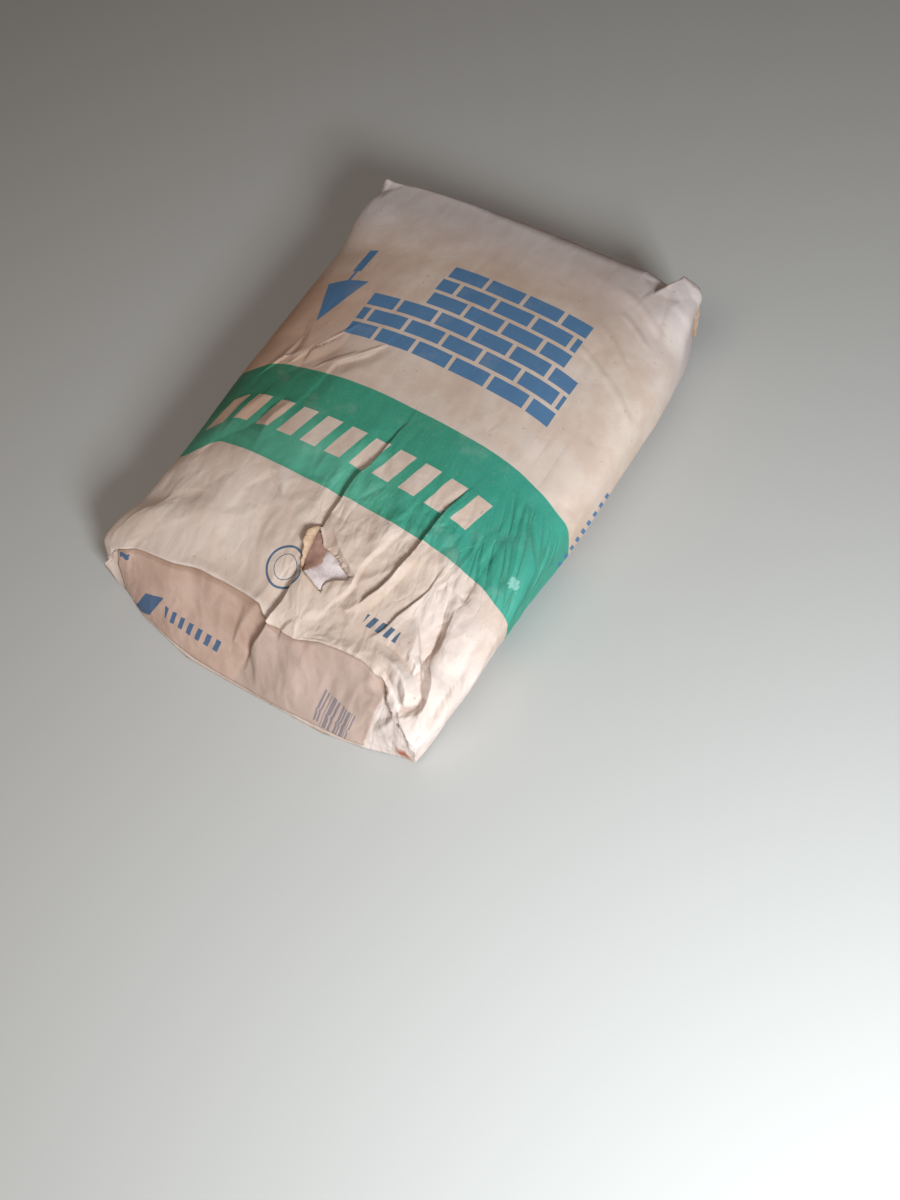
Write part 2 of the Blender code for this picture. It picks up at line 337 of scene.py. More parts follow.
# The sharp folds of the slack paper: lines of points (round the tube, along it, height), in mm on the flat
# paper. Between them and the points that lie still, the paper is in flat facets.
FOLDS = (
    ((23, -1.9, -0.3), (21.5, -16.6, -1), (20.1, -34.3, -1.8), (19.5, -49.3, -2.2), (17.4, -64.5, -2.8),
     (13.8, -72.2, -3.4), (12.9, -79.5, -3.8), (12.8, -91, -4), (13.6, -100.6, -4), (14.1, -110, -4),
     (14.1, -121, -4), (14.8, -131.4, -3)),
    ((26, -3, 0.2), (24, -18, 0.6), (23, -37, 1), (22, -52, 1.5), (20, -64, 2), (16, -73, 2.4),
     (15, -81, 2.8), (15, -93, 2.6), (16, -102, 2.4), (16, -111, 2.2), (16, -122, 2), (17, -131, 2)),
    ((-3, -12, 0.2), (-4, -32, 0.6), (-5, -53, 0.8), (-8, -67, 0.8), (-6, -83, 0.9), (-5, -97, 0.9),
     (-5, -111, 0.9), (-5, -124, 0.8)),
    ((38, -85, 0.2), (37, -64, 0.2)),
    ((-44, -64, -0.2), (-35, -78, -1.2), (-29, -93, -1), (-27, -102, -0.2)),
    ((115.8, -36.7, -0.3), (111.5, -54, -1.1), (108.5, -65.3, -1.9), (107.5, -74.4, -2.5),
     (106.3, -84.4, -2.6), (105.2, -96.4, -2.5), (104.6, -107, -1.9), (102.6, -122, -1.6),
     (99.1, -138.1, -1.4), (94.6, -157, -1.4), (89.2, -170.7, -1.2)),
    ((117, -37, 0.4), (113, -54, 1.1), (110, -65, 1.6), (109, -75, 2.1), (108, -86, 2.5), (107, -97, 2.8),
     (107, -109, 3.3), (105, -122, 3.7), (103, -133, 4), (101, -146, 4), (97, -159, 3.5), (92, -169, 2.8),
     (88, -179, 2.1), (81, -190, 1.2)),
    ((120, -89, 0.8), (115, -102, 0.6), (113, -119, 0.2), (111, -133, -0.2), (108, -146, -0.6),
     (105, -159, -0.8), (102, -172, -1), (94, -184, -0.6)),
    ((87, -103.4, -0.4), (83.9, -112, -1.2), (80.6, -125.5, -1.8), (75.8, -138.1, -2.2), (73.7, -147.5, -2.4),
     (74, -157.2, -2.4), (76, -167.4, -2.2), (73, -178.2, -1.8), (67.2, -187.9, -1), (60, -202, -0.4)),
    ((84, -104, 0.1), (80, -112, 0.6), (77, -125, 0.8), (72, -138, 1.1), (70, -148, 1.5), (71, -158, 1.8),
     (73, -168, 1.5), (70, -177, 1.1), (64, -187, 0.6)),
    ((138.3, -107.5, 0), (136.4, -119.5, -0.2), (136, -135.1, -0.6), (130.5, -150, -0.8),
     (126.1, -160.2, -1.3), (122.7, -169.7, -1.5), (121, -177.5, -1.5), (117, -188.5, -1),
     (109.7, -198.7, -0.4)),
    ((140, -107, 0.3), (138, -120, 0.8), (138, -134, 1.4), (132, -150, 1.7), (128, -160, 1.7),
     (124, -170, 1.7), (122, -178, 1.3), (119, -188, 0.8), (111, -199, 0.3)),
    ((186, -104, 0), (180, -112, -1), (174, -121, -1.2)),
    ((163, -130, -1.2), (168, -141, -3), (173, -149, -4), (176, -159, -5), (178, -166, -4.6),
     (179, -174, -4.4), (178, -183, -4.8), (175, -196, -5.4), (177, -202, -5.8), (183, -209, -5.8),
     (189, -215, -5.2), (188, -223, -4.4), (184, -231, -3.8), (176, -235, -3)),
    ((175, -124, 1), (176, -134, 2.4), (179, -143, 3), (182, -151, 3), (182, -161, 2.2), (183, -168, 2.4),
     (185, -175, 2.8), (186, -182, 3.2), (190, -190, 3.4), (193, -200, 3.4), (196, -211, 2.6),
     (196, -221, 1.6), (190, -232, 1)),
    ((121, -196, -0.6), (138, -196, -1.8), (154, -199, -2.8), (168, -203, -3.4), (177, -210, -3.6),
     (183, -216, -3.6)),
    ((139, -186, 0.8), (154, -190, 1.6), (167, -195, 1.2)),
    ((120, -205, 0.6), (137, -205, 2), (151, -207, 3.6), (164, -212, 4.6), (173, -219, 4.6), (175, -227, 3)),
    ((127, -211, -0.5), (140, -214, -1.4), (150, -220, -1.8), (159, -227, -1.6), (170, -233, -0.8)),
    ((136, -220, -0.5), (140, -224, -2.2), (145, -232, -3), (153, -241, -3), (158, -247, -2.6),
     (169, -245, -1.5)),
    ((142, -221, 1), (149, -227, 1.4), (155, -236, 1.2), (163, -239, 1)),
    ((171, -244, -0.8), (164, -256, -1.8), (156, -268, -1)),
    ((176, -245, 0.8), (168, -261, 1), (162, -269, 0.6)),
    ((146, -258, -0.4), (143, -272, -1.2), (140, -285, -1)),
    ((204, -139, 0.4), (205, -164, 0.8), (205, -194, 0.8), (204, -218, 0.4)),
    ((203, -120, -0.2), (208, -145, -0.8), (211, -169, -1), (209, -198, -1), (208, -220, -0.4)),
    ((225, -120, 0.3), (228, -147, 0.8), (227, -175, 0.8), (227, -201, 0.4)),
    ((19.7, -176.3, -1.8), (19.1, -188, -2.4), (18.4, -203, -2.8), (18.4, -213, -3), (17.4, -226.2, -3),
     (15.2, -239.5, -3), (6.7, -256.1, -2.8), (-2.5, -273.5, -2.2), (-6.6, -287.3, -1.4), (-9.6, -303, -0.8)),
    ((23, -176, 2.2), (21, -188, 2.8), (21, -204, 3.4), (21, -214, 3.6), (20, -226, 3.6), (18, -239, 3.2),
     (12, -255, 2.2), (1, -272, 1.6), (-4, -287, 1), (-7, -303, 0.5)),
    ((-1, -182, 0.8), (-2, -208, 1.4), (-6, -230, 1.6), (-16, -253, 1.4), (-25, -278, 0.6)),
    ((54, -192, 1), (49, -207, 1.6), (42, -221, 1.6), (37, -233, 0.8)),
    ((71, -191, -1), (61, -207, -1.4), (54, -224, -1.4), (51, -236, -0.8)),
    ((82, -191, -0.5), (76, -203, -1.6), (72, -212, -1.4)),
    ((76, -212, -0.5), (74, -222, -1.8), (70, -234, -1)),
    ((27, -239, -0.4), (32, -234, -1.4), (36, -225, -0.4)),
    ((52, -238, -0.4), (60, -239, -1.2), (67, -239, -0.4)),
    ((93, -241, -0.3), (95, -258, -1.1), (96, -274, -0.6)),
    ((32, -250, -0.3), (33, -272, -1), (32, -293, -0.5)),
    ((-88, -254, -0.2), (-80, -265, -0.9), (-81, -281, -0.3)),
    ((111, -234, 0.8), (121, -246, 1.6), (121, -267, 1)),
    ((-20, -232, -0.3), (-23, -255, -1), (-28, -280, -0.4)),
    ((-47, 79, 0.1), (-50, 69, 0.2), (-56, 51, 0.5), (-65, 39, 0.6), (-78, 31, 0.7), (-87, 22, 0.8),
     (-88, 9, 0), (-88, -5, 0), (-91, -18, 0), (-94, -31, 0), (-98, -52, 0)),
    ((-45, 79, -0.1), (-48.3, 67.4, -0.2), (-54, 50, -0.5), (-62, 39, -0.8), (-72.4, 31.9, -1),
     (-83.4, 22.4, -1), (-85.8, 7, -0.7), (-85.6, -6.7, -0.7), (-88, -18.6, -0.6), (-90.9, -30.6, -0.5),
     (-94.6, -51.7, -0.4), (-88, -75, -0.2)),
    ((-37, 62, 0.2), (-45, 43, 0.7), (-53, 31, 0.8), (-64, 22, 0.8), (-71, 13, 0.8), (-72, 3, 0.7),
     (-71, -12, 0.6), (-73, -24, 0.4)),
    ((-100, 73, 0.2), (-101, 59, 0.6), (-110, 48, 0.8), (-123, 33, 1.3), (-137, 24, 1.6), (-150, 19, 1.4),
     (-162, 9, 1), (-169, -2, 0.4)),
    ((-95, 45, -0.5), (-104, 31, -1.3), (-114, 21, -1.4), (-123, 13, -1.4), (-130, 1, -1.3), (-134, -16, -1),
     (-140, -34, -0.3)),
    ((-158, 75, -0.2), (-149, 54, -1), (-144, 39, -1.1), (-145, 27, -0.4)),
    ((-146, 64, 0.3), (-138, 47, 0.6), (-137, 37, 0.4)),
    ((-111, -31, -0.8), (-120, -45, -1.8), (-122, -57, -2.4), (-122, -66, -2.4), (-129, -77, -2),
     (-137, -87, -1.4), (-148, -98, -0.6)),
    ((-101, -39, 0.8), (-107, -54, 1.4), (-108, -65, 1.6), (-105, -80, 1), (-103, -92, 0.4)),
    ((-137, -38, 0.5), (-143, -52, 0.9), (-148, -65, 0.9), (-153, -83, 0.4)),
    ((-70, -109, -0.2), (-63, -116, -1.6), (-52, -122, -1.6), (-41, -128, -0.3)),
    ((-60, -108, 0.6), (-48, -116, 0.9)),
    ((-38, -106, -0.2), (-23, -112, -1.3), (-12, -118, -0.4)),
    ((-62, -157, -0.2), (-47, -162, -1.1), (-34, -167, -1.1), (-21, -172, -0.2)),
    ((-88, -171, -0.2), (-71, -176, -1), (-56, -181, -1), (-44, -190, -0.2)),
    ((-82, -139, -0.2), (-76, -153, -1.1), (-66, -162, -0.3)),
    ((-158, -151, -0.2), (-144, -147, -0.9), (-130, -135, -0.6), (-118, -122, -0.1)),
    ((-153, -202, -0.1), (-147, -216, -0.9), (-143, -228, -0.2)),
    ((-151, -184, -0.2), (-144, -175, -1), (-150, -161, -0.3)),
    ((133, -56, -0.2), (135, -75, -1), (133, -90, -1.2), (127, -97, -0.8)),
    ((140, 170, -0.2), (140, 146, -0.9), (140, 121, -0.9), (144, 100, -0.2)),
    ((169, 264, -0.2), (183, 235, -1.1), (190, 201, -0.9), (194, 173, -0.2)),
    ((176, 93, -0.2), (189, 86, -0.8), (204, 88, -0.2)),
    ((148, 262, -0.4), (152, 271, -2.8), (156, 281, -4.8), (159, 293, -5.5)),
    ((153, 259, 0.6), (158, 269, 3.6), (163, 280, 6.2), (168, 292, 7.5)),
    ((176, 258, 0.4), (181, 273, 3), (186, 286, 5), (190, 297, 5.5)),
    ((-207, 302, 0.3), (-204, 309, 2.4), (-199, 314, 3), (-193, 312, 1.2)),
    ((-203, 292, -1.5), (-196, 297, -2), (-188, 300, -0.6)),
    ((20, -130, 2.8), (28, -132, 4.4), (36, -138, 4.8), (43, -144, 4.6), (53, -150, 4), (63, -155, 3.2)),
    ((17, -140, 0.2), (18, -147, -0.4), (29, -152, -1), (44, -154, -1.2), (55, -157, -1.2), (65, -163, -0.8)),
    ((52, -184, 0.6), (57, -181, 1.5), (63, -176, 1.3)),
    ((128.5, -226.5, 1.6), (131, -231, 1.8), (134, -237, 1.2)),
    ((165, -52, -0.1), (176, -70, -0.7), (188, -92, -0.3)),
    ((192, -12, 0.2), (204, -42, 0.9), (214, -72, 0.3)),
    ((-137.6, 16.4, 0.3), (-127.2, 34.8, 1.1), (-112.6, 51.7, 1.1), (-97.9, 72.7, 0.3)),
    ((-135.4, 14.2, -0.1), (-125, 32.6, -0.6), (-110.4, 49.5, -0.6), (-95.7, 70.5, -0.1)),
    ((-163.8, 1.1, 0.2), (-156, 10.7, 0.9), (-148, 21, 0.2)),
    ((-161.8, -1.1, -0.1), (-154, 8.5, -0.5), (-146, 18.8, -0.1)),
    ((-153.6, 66.6, -0.2), (-145.8, 46.5, -1), (-141.4, 32, -0.2)),
)
STILL = (
    (130, 270), (130, 300), (150, 240), (185, 235), (215, 260), (215, 300), (150, 325), (190, 325),
    (-215, 280), (-190, 280), (-175, 305), (-180, 330), (-215, 330), (-420, -420), (-140, -420), (140, -420),
    (420, -420), (420, -200), (420, 0), (420, 200), (420, 420), (140, 420), (-140, 420), (-420, 420),
    (-420, 200), (-420, 0), (-420, -200), (-230, -200), (-230, -80), (-230, 60), (-230, 180), (-150, 140),
    (-60, 130), (30, 120), (120, 120), (200, 140), (200, 220), (60, 230), (-80, 230), (300, -100), (300, 60),
    (300, -250), (250, -30), (250, -180), (-100, -340), (0, -340), (100, -340), (200, -330), (-20, 97),
    (48, 89), (115, 76), (181, 79), (228, 70), (65, 45), (131, 36), (-104, 111), (-148, 119), (10, 55),
    (22, 20), (88, -6), (124, -7), (168, -11), (119, -36), (-48, -13), (-19, -27), (-47, -39), (-68, -61),
    (-64, -85), (-86, -107), (-24, -54), (-99, -124), (-117, -154), (-117, -190), (-176, -195), (-190, -158),
    (-179, -216), (-101, -215), (-76, -200), (-118, -233), (-34, -196), (-43, -222), (-27, -183), (-54, -146),
    (-21, -142), (-3, -150), (-35, -132), (-154, -118), (-170, -115), (38, -121), (44, -106), (62, -96),
    (68, -81), (60, -120), (73, -53), (126, -113), (159, -103), (189, -123), (167, -120), (191, -110),
    (117, -150), (151, -160), (140, -156), (137, -179), (137, -170), (91, -197), (96, -214), (89, -223),
    (113, -214), (130, -247), (59, -256), (55, -294), (-1, -311), (-46, -266), (-74, -258), (-115, -267),
    (-134, -302), (-69, -290), (174, -267), (151, -288), (190, -274), (205, -242), (105, -301), (79, -292),
    (125, -305), (-165, -18), (-169, -31), (-108, -8), (198, 23), (178, 12), (231, -115), (189, -154),
    (189, 141), (130, 185), (110, 140), (145, 242), (186, 286), (216, 238), (225, 188), (77, 193), (-40, 164),
    (-119, 188),
)


def crumpled(s, t, seed, step, amount):
    """The height, in mm, of the facets of handled paper: amount is how high they are at each place."""
    dice = np.random.default_rng(seed)
    columns, rows = np.meshgrid(np.arange(-330, 340, step[0]), np.arange(-350, 360, step[1]))
    places = np.stack([columns.ravel(), rows.ravel()], -1).astype(float)
    places += dice.uniform(-0.5, 0.5, places.shape) * step
    heights = dice.normal(0, 1, len(places))
    stretch = step[1] / step[0]
    points = np.column_stack([places[:, 0] * stretch, places[:, 1], heights])
    return amount * folded(s * stretch, t, points)


def hill(x, y, at_x, at_y, wide, long):
    """A soft round hill, 1 at its top: where it is and how far it reaches."""
    return np.exp(-(((x - at_x) / wide) ** 2) - ((y - at_y) / long) ** 2)


# Soft rises and hollows of the front, in mm: where, how far they reach across and along, and their height.
SWELLS = (
    (-80, -160, 70, 55, 3.0), (95, -165, 60, 45, -3.0), (20, -120, 26, 60, -2.0), (188, -180, 18, 60, 2.5),
    (60, -240, 60, 14, -1.5), (-120, 40, 40, 60, -1.5), (110, 60, 60, 90, 1.0), (-60, 130, 90, 90, 1.0),
)

# The tear, in mm on the plan, from its upper corner and down its left edge; and how far, in mm, the edge of
# its lip is from each point. At the left the lip is folded back over the paper, and at the right it rolls
# down into the hole.
TEAR = (
    (13, -135), (13, -140), (14, -149), (15, -159), (16, -169), (18, -176), (21, -180), (30, -183),
    (41, -187), (48, -189), (46, -183), (48, -179), (52, -175), (59, -172), (66, -168), (66, -164),
    (61, -161), (52, -155), (41, -152), (27, -149), (18, -139),
)
LIPS = (
    (-2, -1, 1), (-6.6, -5.4, 4.4), (-5, -6.6, 4.2), (-3, -6, 3.2), (-1.4, -3.4, 2), (-0.6, -1.2, 1),
    (0, -0.6, 0.6), (0, -0.6, 0.5), (0, -0.5, 0.4), (0, 0, 0.2), (-0.6, 1, -1), (-0.6, 2, -1.4),
    (-0.6, 2.4, -1.8), (-1, 2.4, -1.8), (-1.6, 0.8, -1.4), (-2, -1, -1.6), (-3, -2, -2), (-3.4, -2.4, -2.2),
    (-3.4, -2.6, -2.2), (-2.6, -2.6, -1.8), (-2, -1.6, -0.6),
)

# The lines are closer together round the tear.
rows = np.concatenate([
    np.linspace(-257, -194, 12)[:-1], np.linspace(-194, -134, 15)[:-1], np.linspace(-134, -60, 14)[:-1],
    np.linspace(-60, 0, 9)[:-1], np.linspace(0, 262, 23)[:-1], np.linspace(262, 284, 4),
])
coarse_lines = (
    np.concatenate([np.linspace(-1, 0, 25)[:-1], np.linspace(0, 0.42, 21)[:-1], np.linspace(0.42, 1, 26)]),
    2 * (rows - rows[0]) / (rows[-1] - rows[0]) - 1,
    np.linspace(-1, 1, 9),
)
coarse_corners, coarse_which, coarse_squares, _ = box_sheet(coarse_lines)
CEMENT_UNDER = 4.0  # from the full shape to the cement that the paper settles on, in mm
MOST_FOLD = 6.0  # the furthest that the paper may leave the full shape, in mm
SETTLING_FRAMES = 20


def slack_folds():
    """How far, in mm, the paper leaves the full shape when its slack near end settles as cloth."""
    places, squares = bag_surface(*coarse_corners.T), coarse_squares
    normals = outward(places, squares)
    packed = sheet_object("packed_cement", places - CEMENT_UNDER * normals, squares)
    packed.modifiers.new("collision", "COLLISION")
    packed.collision.thickness_outer = 0.001
    paper = sheet_object("settling_paper", places, squares)
    held = 1 - part_way(coarse_corners[:, 2] + 0.35, 0.5) * part_way(110 - places[:, 1], 80)
    full = 1 - part_way(-places[:, 1] - 20, 100) * np.clip((places[:, 0] + 40) / 80, 0.3, 1)
    for name, weights in (("held", held), ("full", full)):
        group = paper.vertex_groups.new(name=name)
        for n, weight in enumerate(weights):
            group.add([n], float(weight), "REPLACE")
    cloth = paper.modifiers.new("cloth", "CLOTH")
    settings = cloth.settings
    settings.quality, settings.mass, settings.air_damping = 6, 0.3, 3.0
    settings.tension_stiffness = settings.compression_stiffness = 60
    settings.shear_stiffness, settings.bending_stiffness = 15, 20
    settings.tension_damping = settings.compression_damping = settings.shear_damping = 5
    settings.vertex_group_mass, settings.pin_stiffness = "held", 1.0
    settings.vertex_group_shrink, settings.shrink_min, settings.shrink_max = "full", -0.05, -0.003
    cloth.collision_settings.distance_min = 0.001
    cloth.point_cache.frame_start, cloth.point_cache.frame_end = 1, SETTLING_FRAMES
    for number in range(1, SETTLING_FRAMES + 1):
        bpy.context.scene.frame_set(number)
    result = paper.evaluated_get(bpy.context.evaluated_depsgraph_get())
    moved = np.empty(len(places) * 3, np.float32)
    result.data.vertices.foreach_get("co", moved)
    moved = moved.reshape(-1, 3) / MM - places
    for made in (paper, packed):
        bpy.data.objects.remove(made)
    bpy.context.scene.frame_set(1)
    lengths = np.linalg.norm(moved, axis=1)[:, None]
    return moved * np.minimum(1, MOST_FOLD / np.maximum(lengths, 1e-6))


folds = slack_folds()
lines, at_lines = coarse_lines, coarse_which
for _ in range(2):
    lines = tuple(finer(line) for line in lines)
    corners, which, squares, sides = box_sheet(lines)
    folds = smoothed(spread_to_finer(folds, at_lines, which), squares, 2)
    at_lines = which
a, b, c = corners.T
places = bag_surface(a, b, c)

# The print drifts towards the near end at the sides, because the bag has sagged there. The curves say by how
# much, in mm, at the upper and the lower edge of its band.
BAND_LOW, BAND_HIGH = -102, 10  # where these edges are on the flat paper, in mm
zero_row = int(np.argmin(np.abs(finer(finer(rows)))))
flat, flat_ends = flat_print(places, which, int(np.argmin(np.abs(lines[0]))), zero_row)
for paper in (flat, flat_ends):
    upper = through(
        paper[:, 0], (-260, 36), (-195, 28), (-144, 8), (-105, 3), (-26, -1), (36, 2), (94, 7), (142, 14),
        (182, 25), (208, 35), (270, 42),
    )
    lower = through(
        paper[:, 0], (-260, 34), (-190, 29), (-144, 1), (-92, -1), (20, -1), (104, 3), (142, 7), (180, 12),
        (206, 20), (270, 28),
    )
    paper[:, 1] += lower + (upper - lower) * part_way(paper[:, 1] - BAND_LOW, BAND_HIGH - BAND_LOW)
settled_share = 0.12 + 0.48 * part_way(places[:, 0] + 120, 90)
places = places + settled_share[:, None] * folds
on_end = (np.abs(b) > ON_FACE) & (np.abs(a) < ON_FACE) & (np.abs(c) < ON_FACE)
on_paper = np.where(on_end[:, None], flat_ends, flat)
s, t = on_paper.T

normals = outward(places, squares)
x, y = places[:, 0], places[:, 1]
FOLD_SHARPNESS = 1.15
SEAM_AT, SEAM_STEP = -22, 0.7  # where the seam's edge is at the back, and how far it stands out, in mm
relief = np.zeros_like(x)
facing_up = part_way(c - 0.2, 0.6)
points = [point for line in FOLDS for point in line] + [(*place, 0) for place in STILL]
edges, first = [], 0
for line in FOLDS:
    edges += [(n, n + 1) for n in range(first, first + len(line) - 1)]
    first += len(line)
relief += FOLD_SHARPNESS * folded(s, t, points, edges)
slack = part_way(-t - 20, 60) * np.clip((s + 60) / 60, 0.12, 1)
# The paper lies flatter in three places: by how much, where, and how far that reaches.
for less, *where in ((0.6, 190, -55, 40, 45), (0.8, 42, -158, 26, 26), (0.7, 111, -293, 34, 24)):
    slack *= 1 - less * hill(s, t, *where)
pressed = hill(s, t, 158, -224, 34, 24)
near_left = part_way(-t - 90, 40) * part_way(-s - 10, 40)
relief += crumpled(s, t, 5, (32.0, 36.0), 0.7 * near_left)
relief += crumpled(s, t, 3, (13.0, 26.0), 0.14 + 0.4 * slack)
relief += crumpled(
    s * 0.94 + t * 0.34, t * 0.94 - s * 0.34, 8, (7.0, 15.0), 0.06 + 0.2 * slack + 0.6 * pressed
)
for *where, height in SWELLS:
    relief += facing_up * height * hill(x, y, *where)
tear = np.array(TEAR, float)
round_tear = np.vstack([tear, tear[:1]])
from_tear = np.abs(off_line(x, y, round_tear)[0])
left_of_tear = 1 - part_way(x - 22, 14)
ramp = facing_up * left_of_tear * np.exp(-((from_tear / 9.0) ** 2)) * part_way(y + 192, 12)
under_rim = (1 - c) / 2 * 70
tucked = 5.0 - 3.8 * part_way(x + 10, 60)
relief -= (on_end & (b < 0)) * tucked * np.exp(-under_rim / 14.0) * part_way(under_rim, 2.0)
relief *= part_way(c + 0.9, 0.4)
# The glued seam down the back: the edge of the paper that laps over shows as a step.
on_back = (c < -ON_FACE) * np.clip(1 - np.abs(a), 0, 0.1) * 10
relief -= SEAM_STEP * on_back * (x > SEAM_AT) * np.exp(-np.abs(x - SEAM_AT) / 14)
creased = relief + ramp - smoothed(relief + ramp, squares, 10)
sheet = places + normals * (relief + ramp)[:, None]


def inside(points, outline):
    """Whether each point of the plan is inside the outline."""
    within = np.zeros(len(points), bool)
    for start, end in zip(outline, np.roll(outline, -1, axis=0)):
        crosses = (start[1] > points[:, 1]) != (end[1] > points[:, 1])
        with np.errstate(divide="ignore", invalid="ignore"):
            at = start[0] + (points[:, 1] - start[1]) * (end[0] - start[0]) / (end[1] - start[1])
        within ^= crosses & (points[:, 0] < at)
    return within


def edge_loops(squares):
    """The corners round each open edge of a sheet, in order."""
    steps = {}
    for n in range(4):
        for start, end in squares[:, [n, (n + 1) % 4]]:
            steps[start, end] = steps.get((start, end), 0) + 1
    after = {start: end for start, end in steps if (end, start) not in steps}
    loops = []
    while after:
        loop = [next(iter(after))]
        while loop[-1] in after:
            loop.append(after.pop(loop[-1]))
        loops.append(loop[:-1])
    return loops


def torn_hole(sheet, outline, seed, ragged):
    """Tears a hole in the front, whose edge strays from the outline by about the amount ragged.

    It gives the squares that stay, the corners round the hole in order, and the sheet fitted to it.
    """
    sheet = sheet.copy()
    stay = ~(inside(sheet[squares].mean(1)[:, :2], outline) & (sides == "front"))
    hole = max(edge_loops(squares[stay]), key=len)
    dice = np.random.default_rng(seed)
    closed = np.vstack([outline, outline[:1]])
    for n in hole:
        best, onto = 1e9, None
        for start, end in zip(closed[:-1], closed[1:]):
            run = end - start
            point = start + np.clip((sheet[n, :2] - start) @ run / (run @ run), 0, 1) * run
            away = np.linalg.norm(point - sheet[n, :2])
            if away < best:
                best, onto = away, point
        move = onto + dice.normal(0, ragged, 2) - sheet[n, :2]
        sheet[n, 2] -= normals[n, :2] @ move / normals[n, 2]
        sheet[n, :2] += move
    return stay, hole, sheet


stay, hole, sheet = torn_hole(sheet, tear, 21, 0.15)

# The lip: rings of paper that carry on from the torn edge.
dice = np.random.default_rng(5)


def evened(values, rounds):
    """Values round a closed loop, each moved towards its neighbours, several times."""
    for _ in range(rounds):
        values = 0.5 * values + 0.25 * np.roll(values, 1, axis=0) + 0.25 * np.roll(values, -1, axis=0)
    return values


rings, ring_places = [list(hole)], [sheet]
lengths = np.linalg.norm(np.diff(round_tear, axis=0), axis=1)
at_corner = np.concatenate([[0], np.cumsum(lengths)]) / lengths.sum()
round_lip = np.array(LIPS + LIPS[:1], float)
share = off_line(*sheet[hole][:, :2].T, round_tear)[1]
to_edge = evened(np.stack([np.interp(share, at_corner, round_lip[:, n]) for n in range(3)], -1), 3)
uneven = evened(dice.normal(0, 1, len(hole)), 14)
to_edge *= (1 + 0.13 * uneven / uneven.std())[:, None]
bowed = 0.22 * np.linalg.norm(to_edge, axis=1)
RINGS = (0.3, 0.6, 0.85, 1.0)  # how far out on the lip each ring is
for out in RINGS:
    ring = sheet[hole] + out * to_edge
    ring[:, 2] += bowed * np.sin(np.pi * out)
    first = sum(len(p) for p in ring_places)
    rings.append(list(range(first, first + len(hole))))
    ring_places.append(ring)
all_places = np.concatenate(ring_places)
lip_squares = []
for low, high in zip(rings[:-1], rings[1:]):
    for n in range(len(hole)):
        m = (n + 1) % len(hole)
        lip_squares.append((low[m], low[n], high[n], high[m]))
all_squares = np.concatenate([squares[stay], np.array(lip_squares)])


def loops_on_paper(squares, sides):
    """The print coordinates at each corner of each square, in mm."""
    at = flat[squares].copy()
    ends = (sides == "near") | (sides == "far")
    at[ends] = flat_ends[squares[ends]]
    right = (sides == "back") & (corners[squares][:, :, 0].mean(1) > 0)
    at[right, :, 0] = np.abs(at[right, :, 0])
    return at.reshape(-1, 2)


prints = loops_on_paper(squares[stay], sides[stay])
ring_prints = np.concatenate([flat] + [flat[hole]] * len(RINGS))
lip_prints = ring_prints[np.array(lip_squares)].reshape(-1, 2)
sack = sheet_object(
    "kraft_sack", all_places, all_squares, np.concatenate([prints, lip_prints]),
    np.concatenate([creased] + [creased[hole]] * len(RINGS)),
)


PAPER_THICK = 0.4  # in mm


def finish_sheet(obj, thickness, reverse=0):
    """Gives a sheet its thickness, in mm and inwards, and the number of the material on its reverse."""
    solid = obj.modifiers.new("thickness", "SOLIDIFY")
    solid.material_offset = solid.material_offset_rim = reverse
    solid.thickness = thickness * MM
    solid.offset = -1.0
    solid.use_rim = True
    applied(obj)


def applied(obj):
    """Makes an object's modifiers part of its mesh."""
    evaluated = obj.evaluated_get(bpy.context.evaluated_depsgraph_get())
    mesh = bpy.data.meshes.new_from_object(evaluated)
    obj.modifiers.clear()
    obj.data = mesh


def thinned(obj, share, weights):
    """Merges an object's smallest faces down to a share of them: more where the weights are high."""
    group = obj.vertex_groups.new(name="merged")
    for level in np.unique(weights):
        if level > 0:
            group.add(np.flatnonzero(weights == level).tolist(), float(level), "REPLACE")
    fewer = obj.modifiers.new("fewer", "DECIMATE")
    fewer.ratio, fewer.vertex_group, fewer.vertex_group_factor = share, "merged", 1.0
    applied(obj)
    obj.vertex_groups.clear()


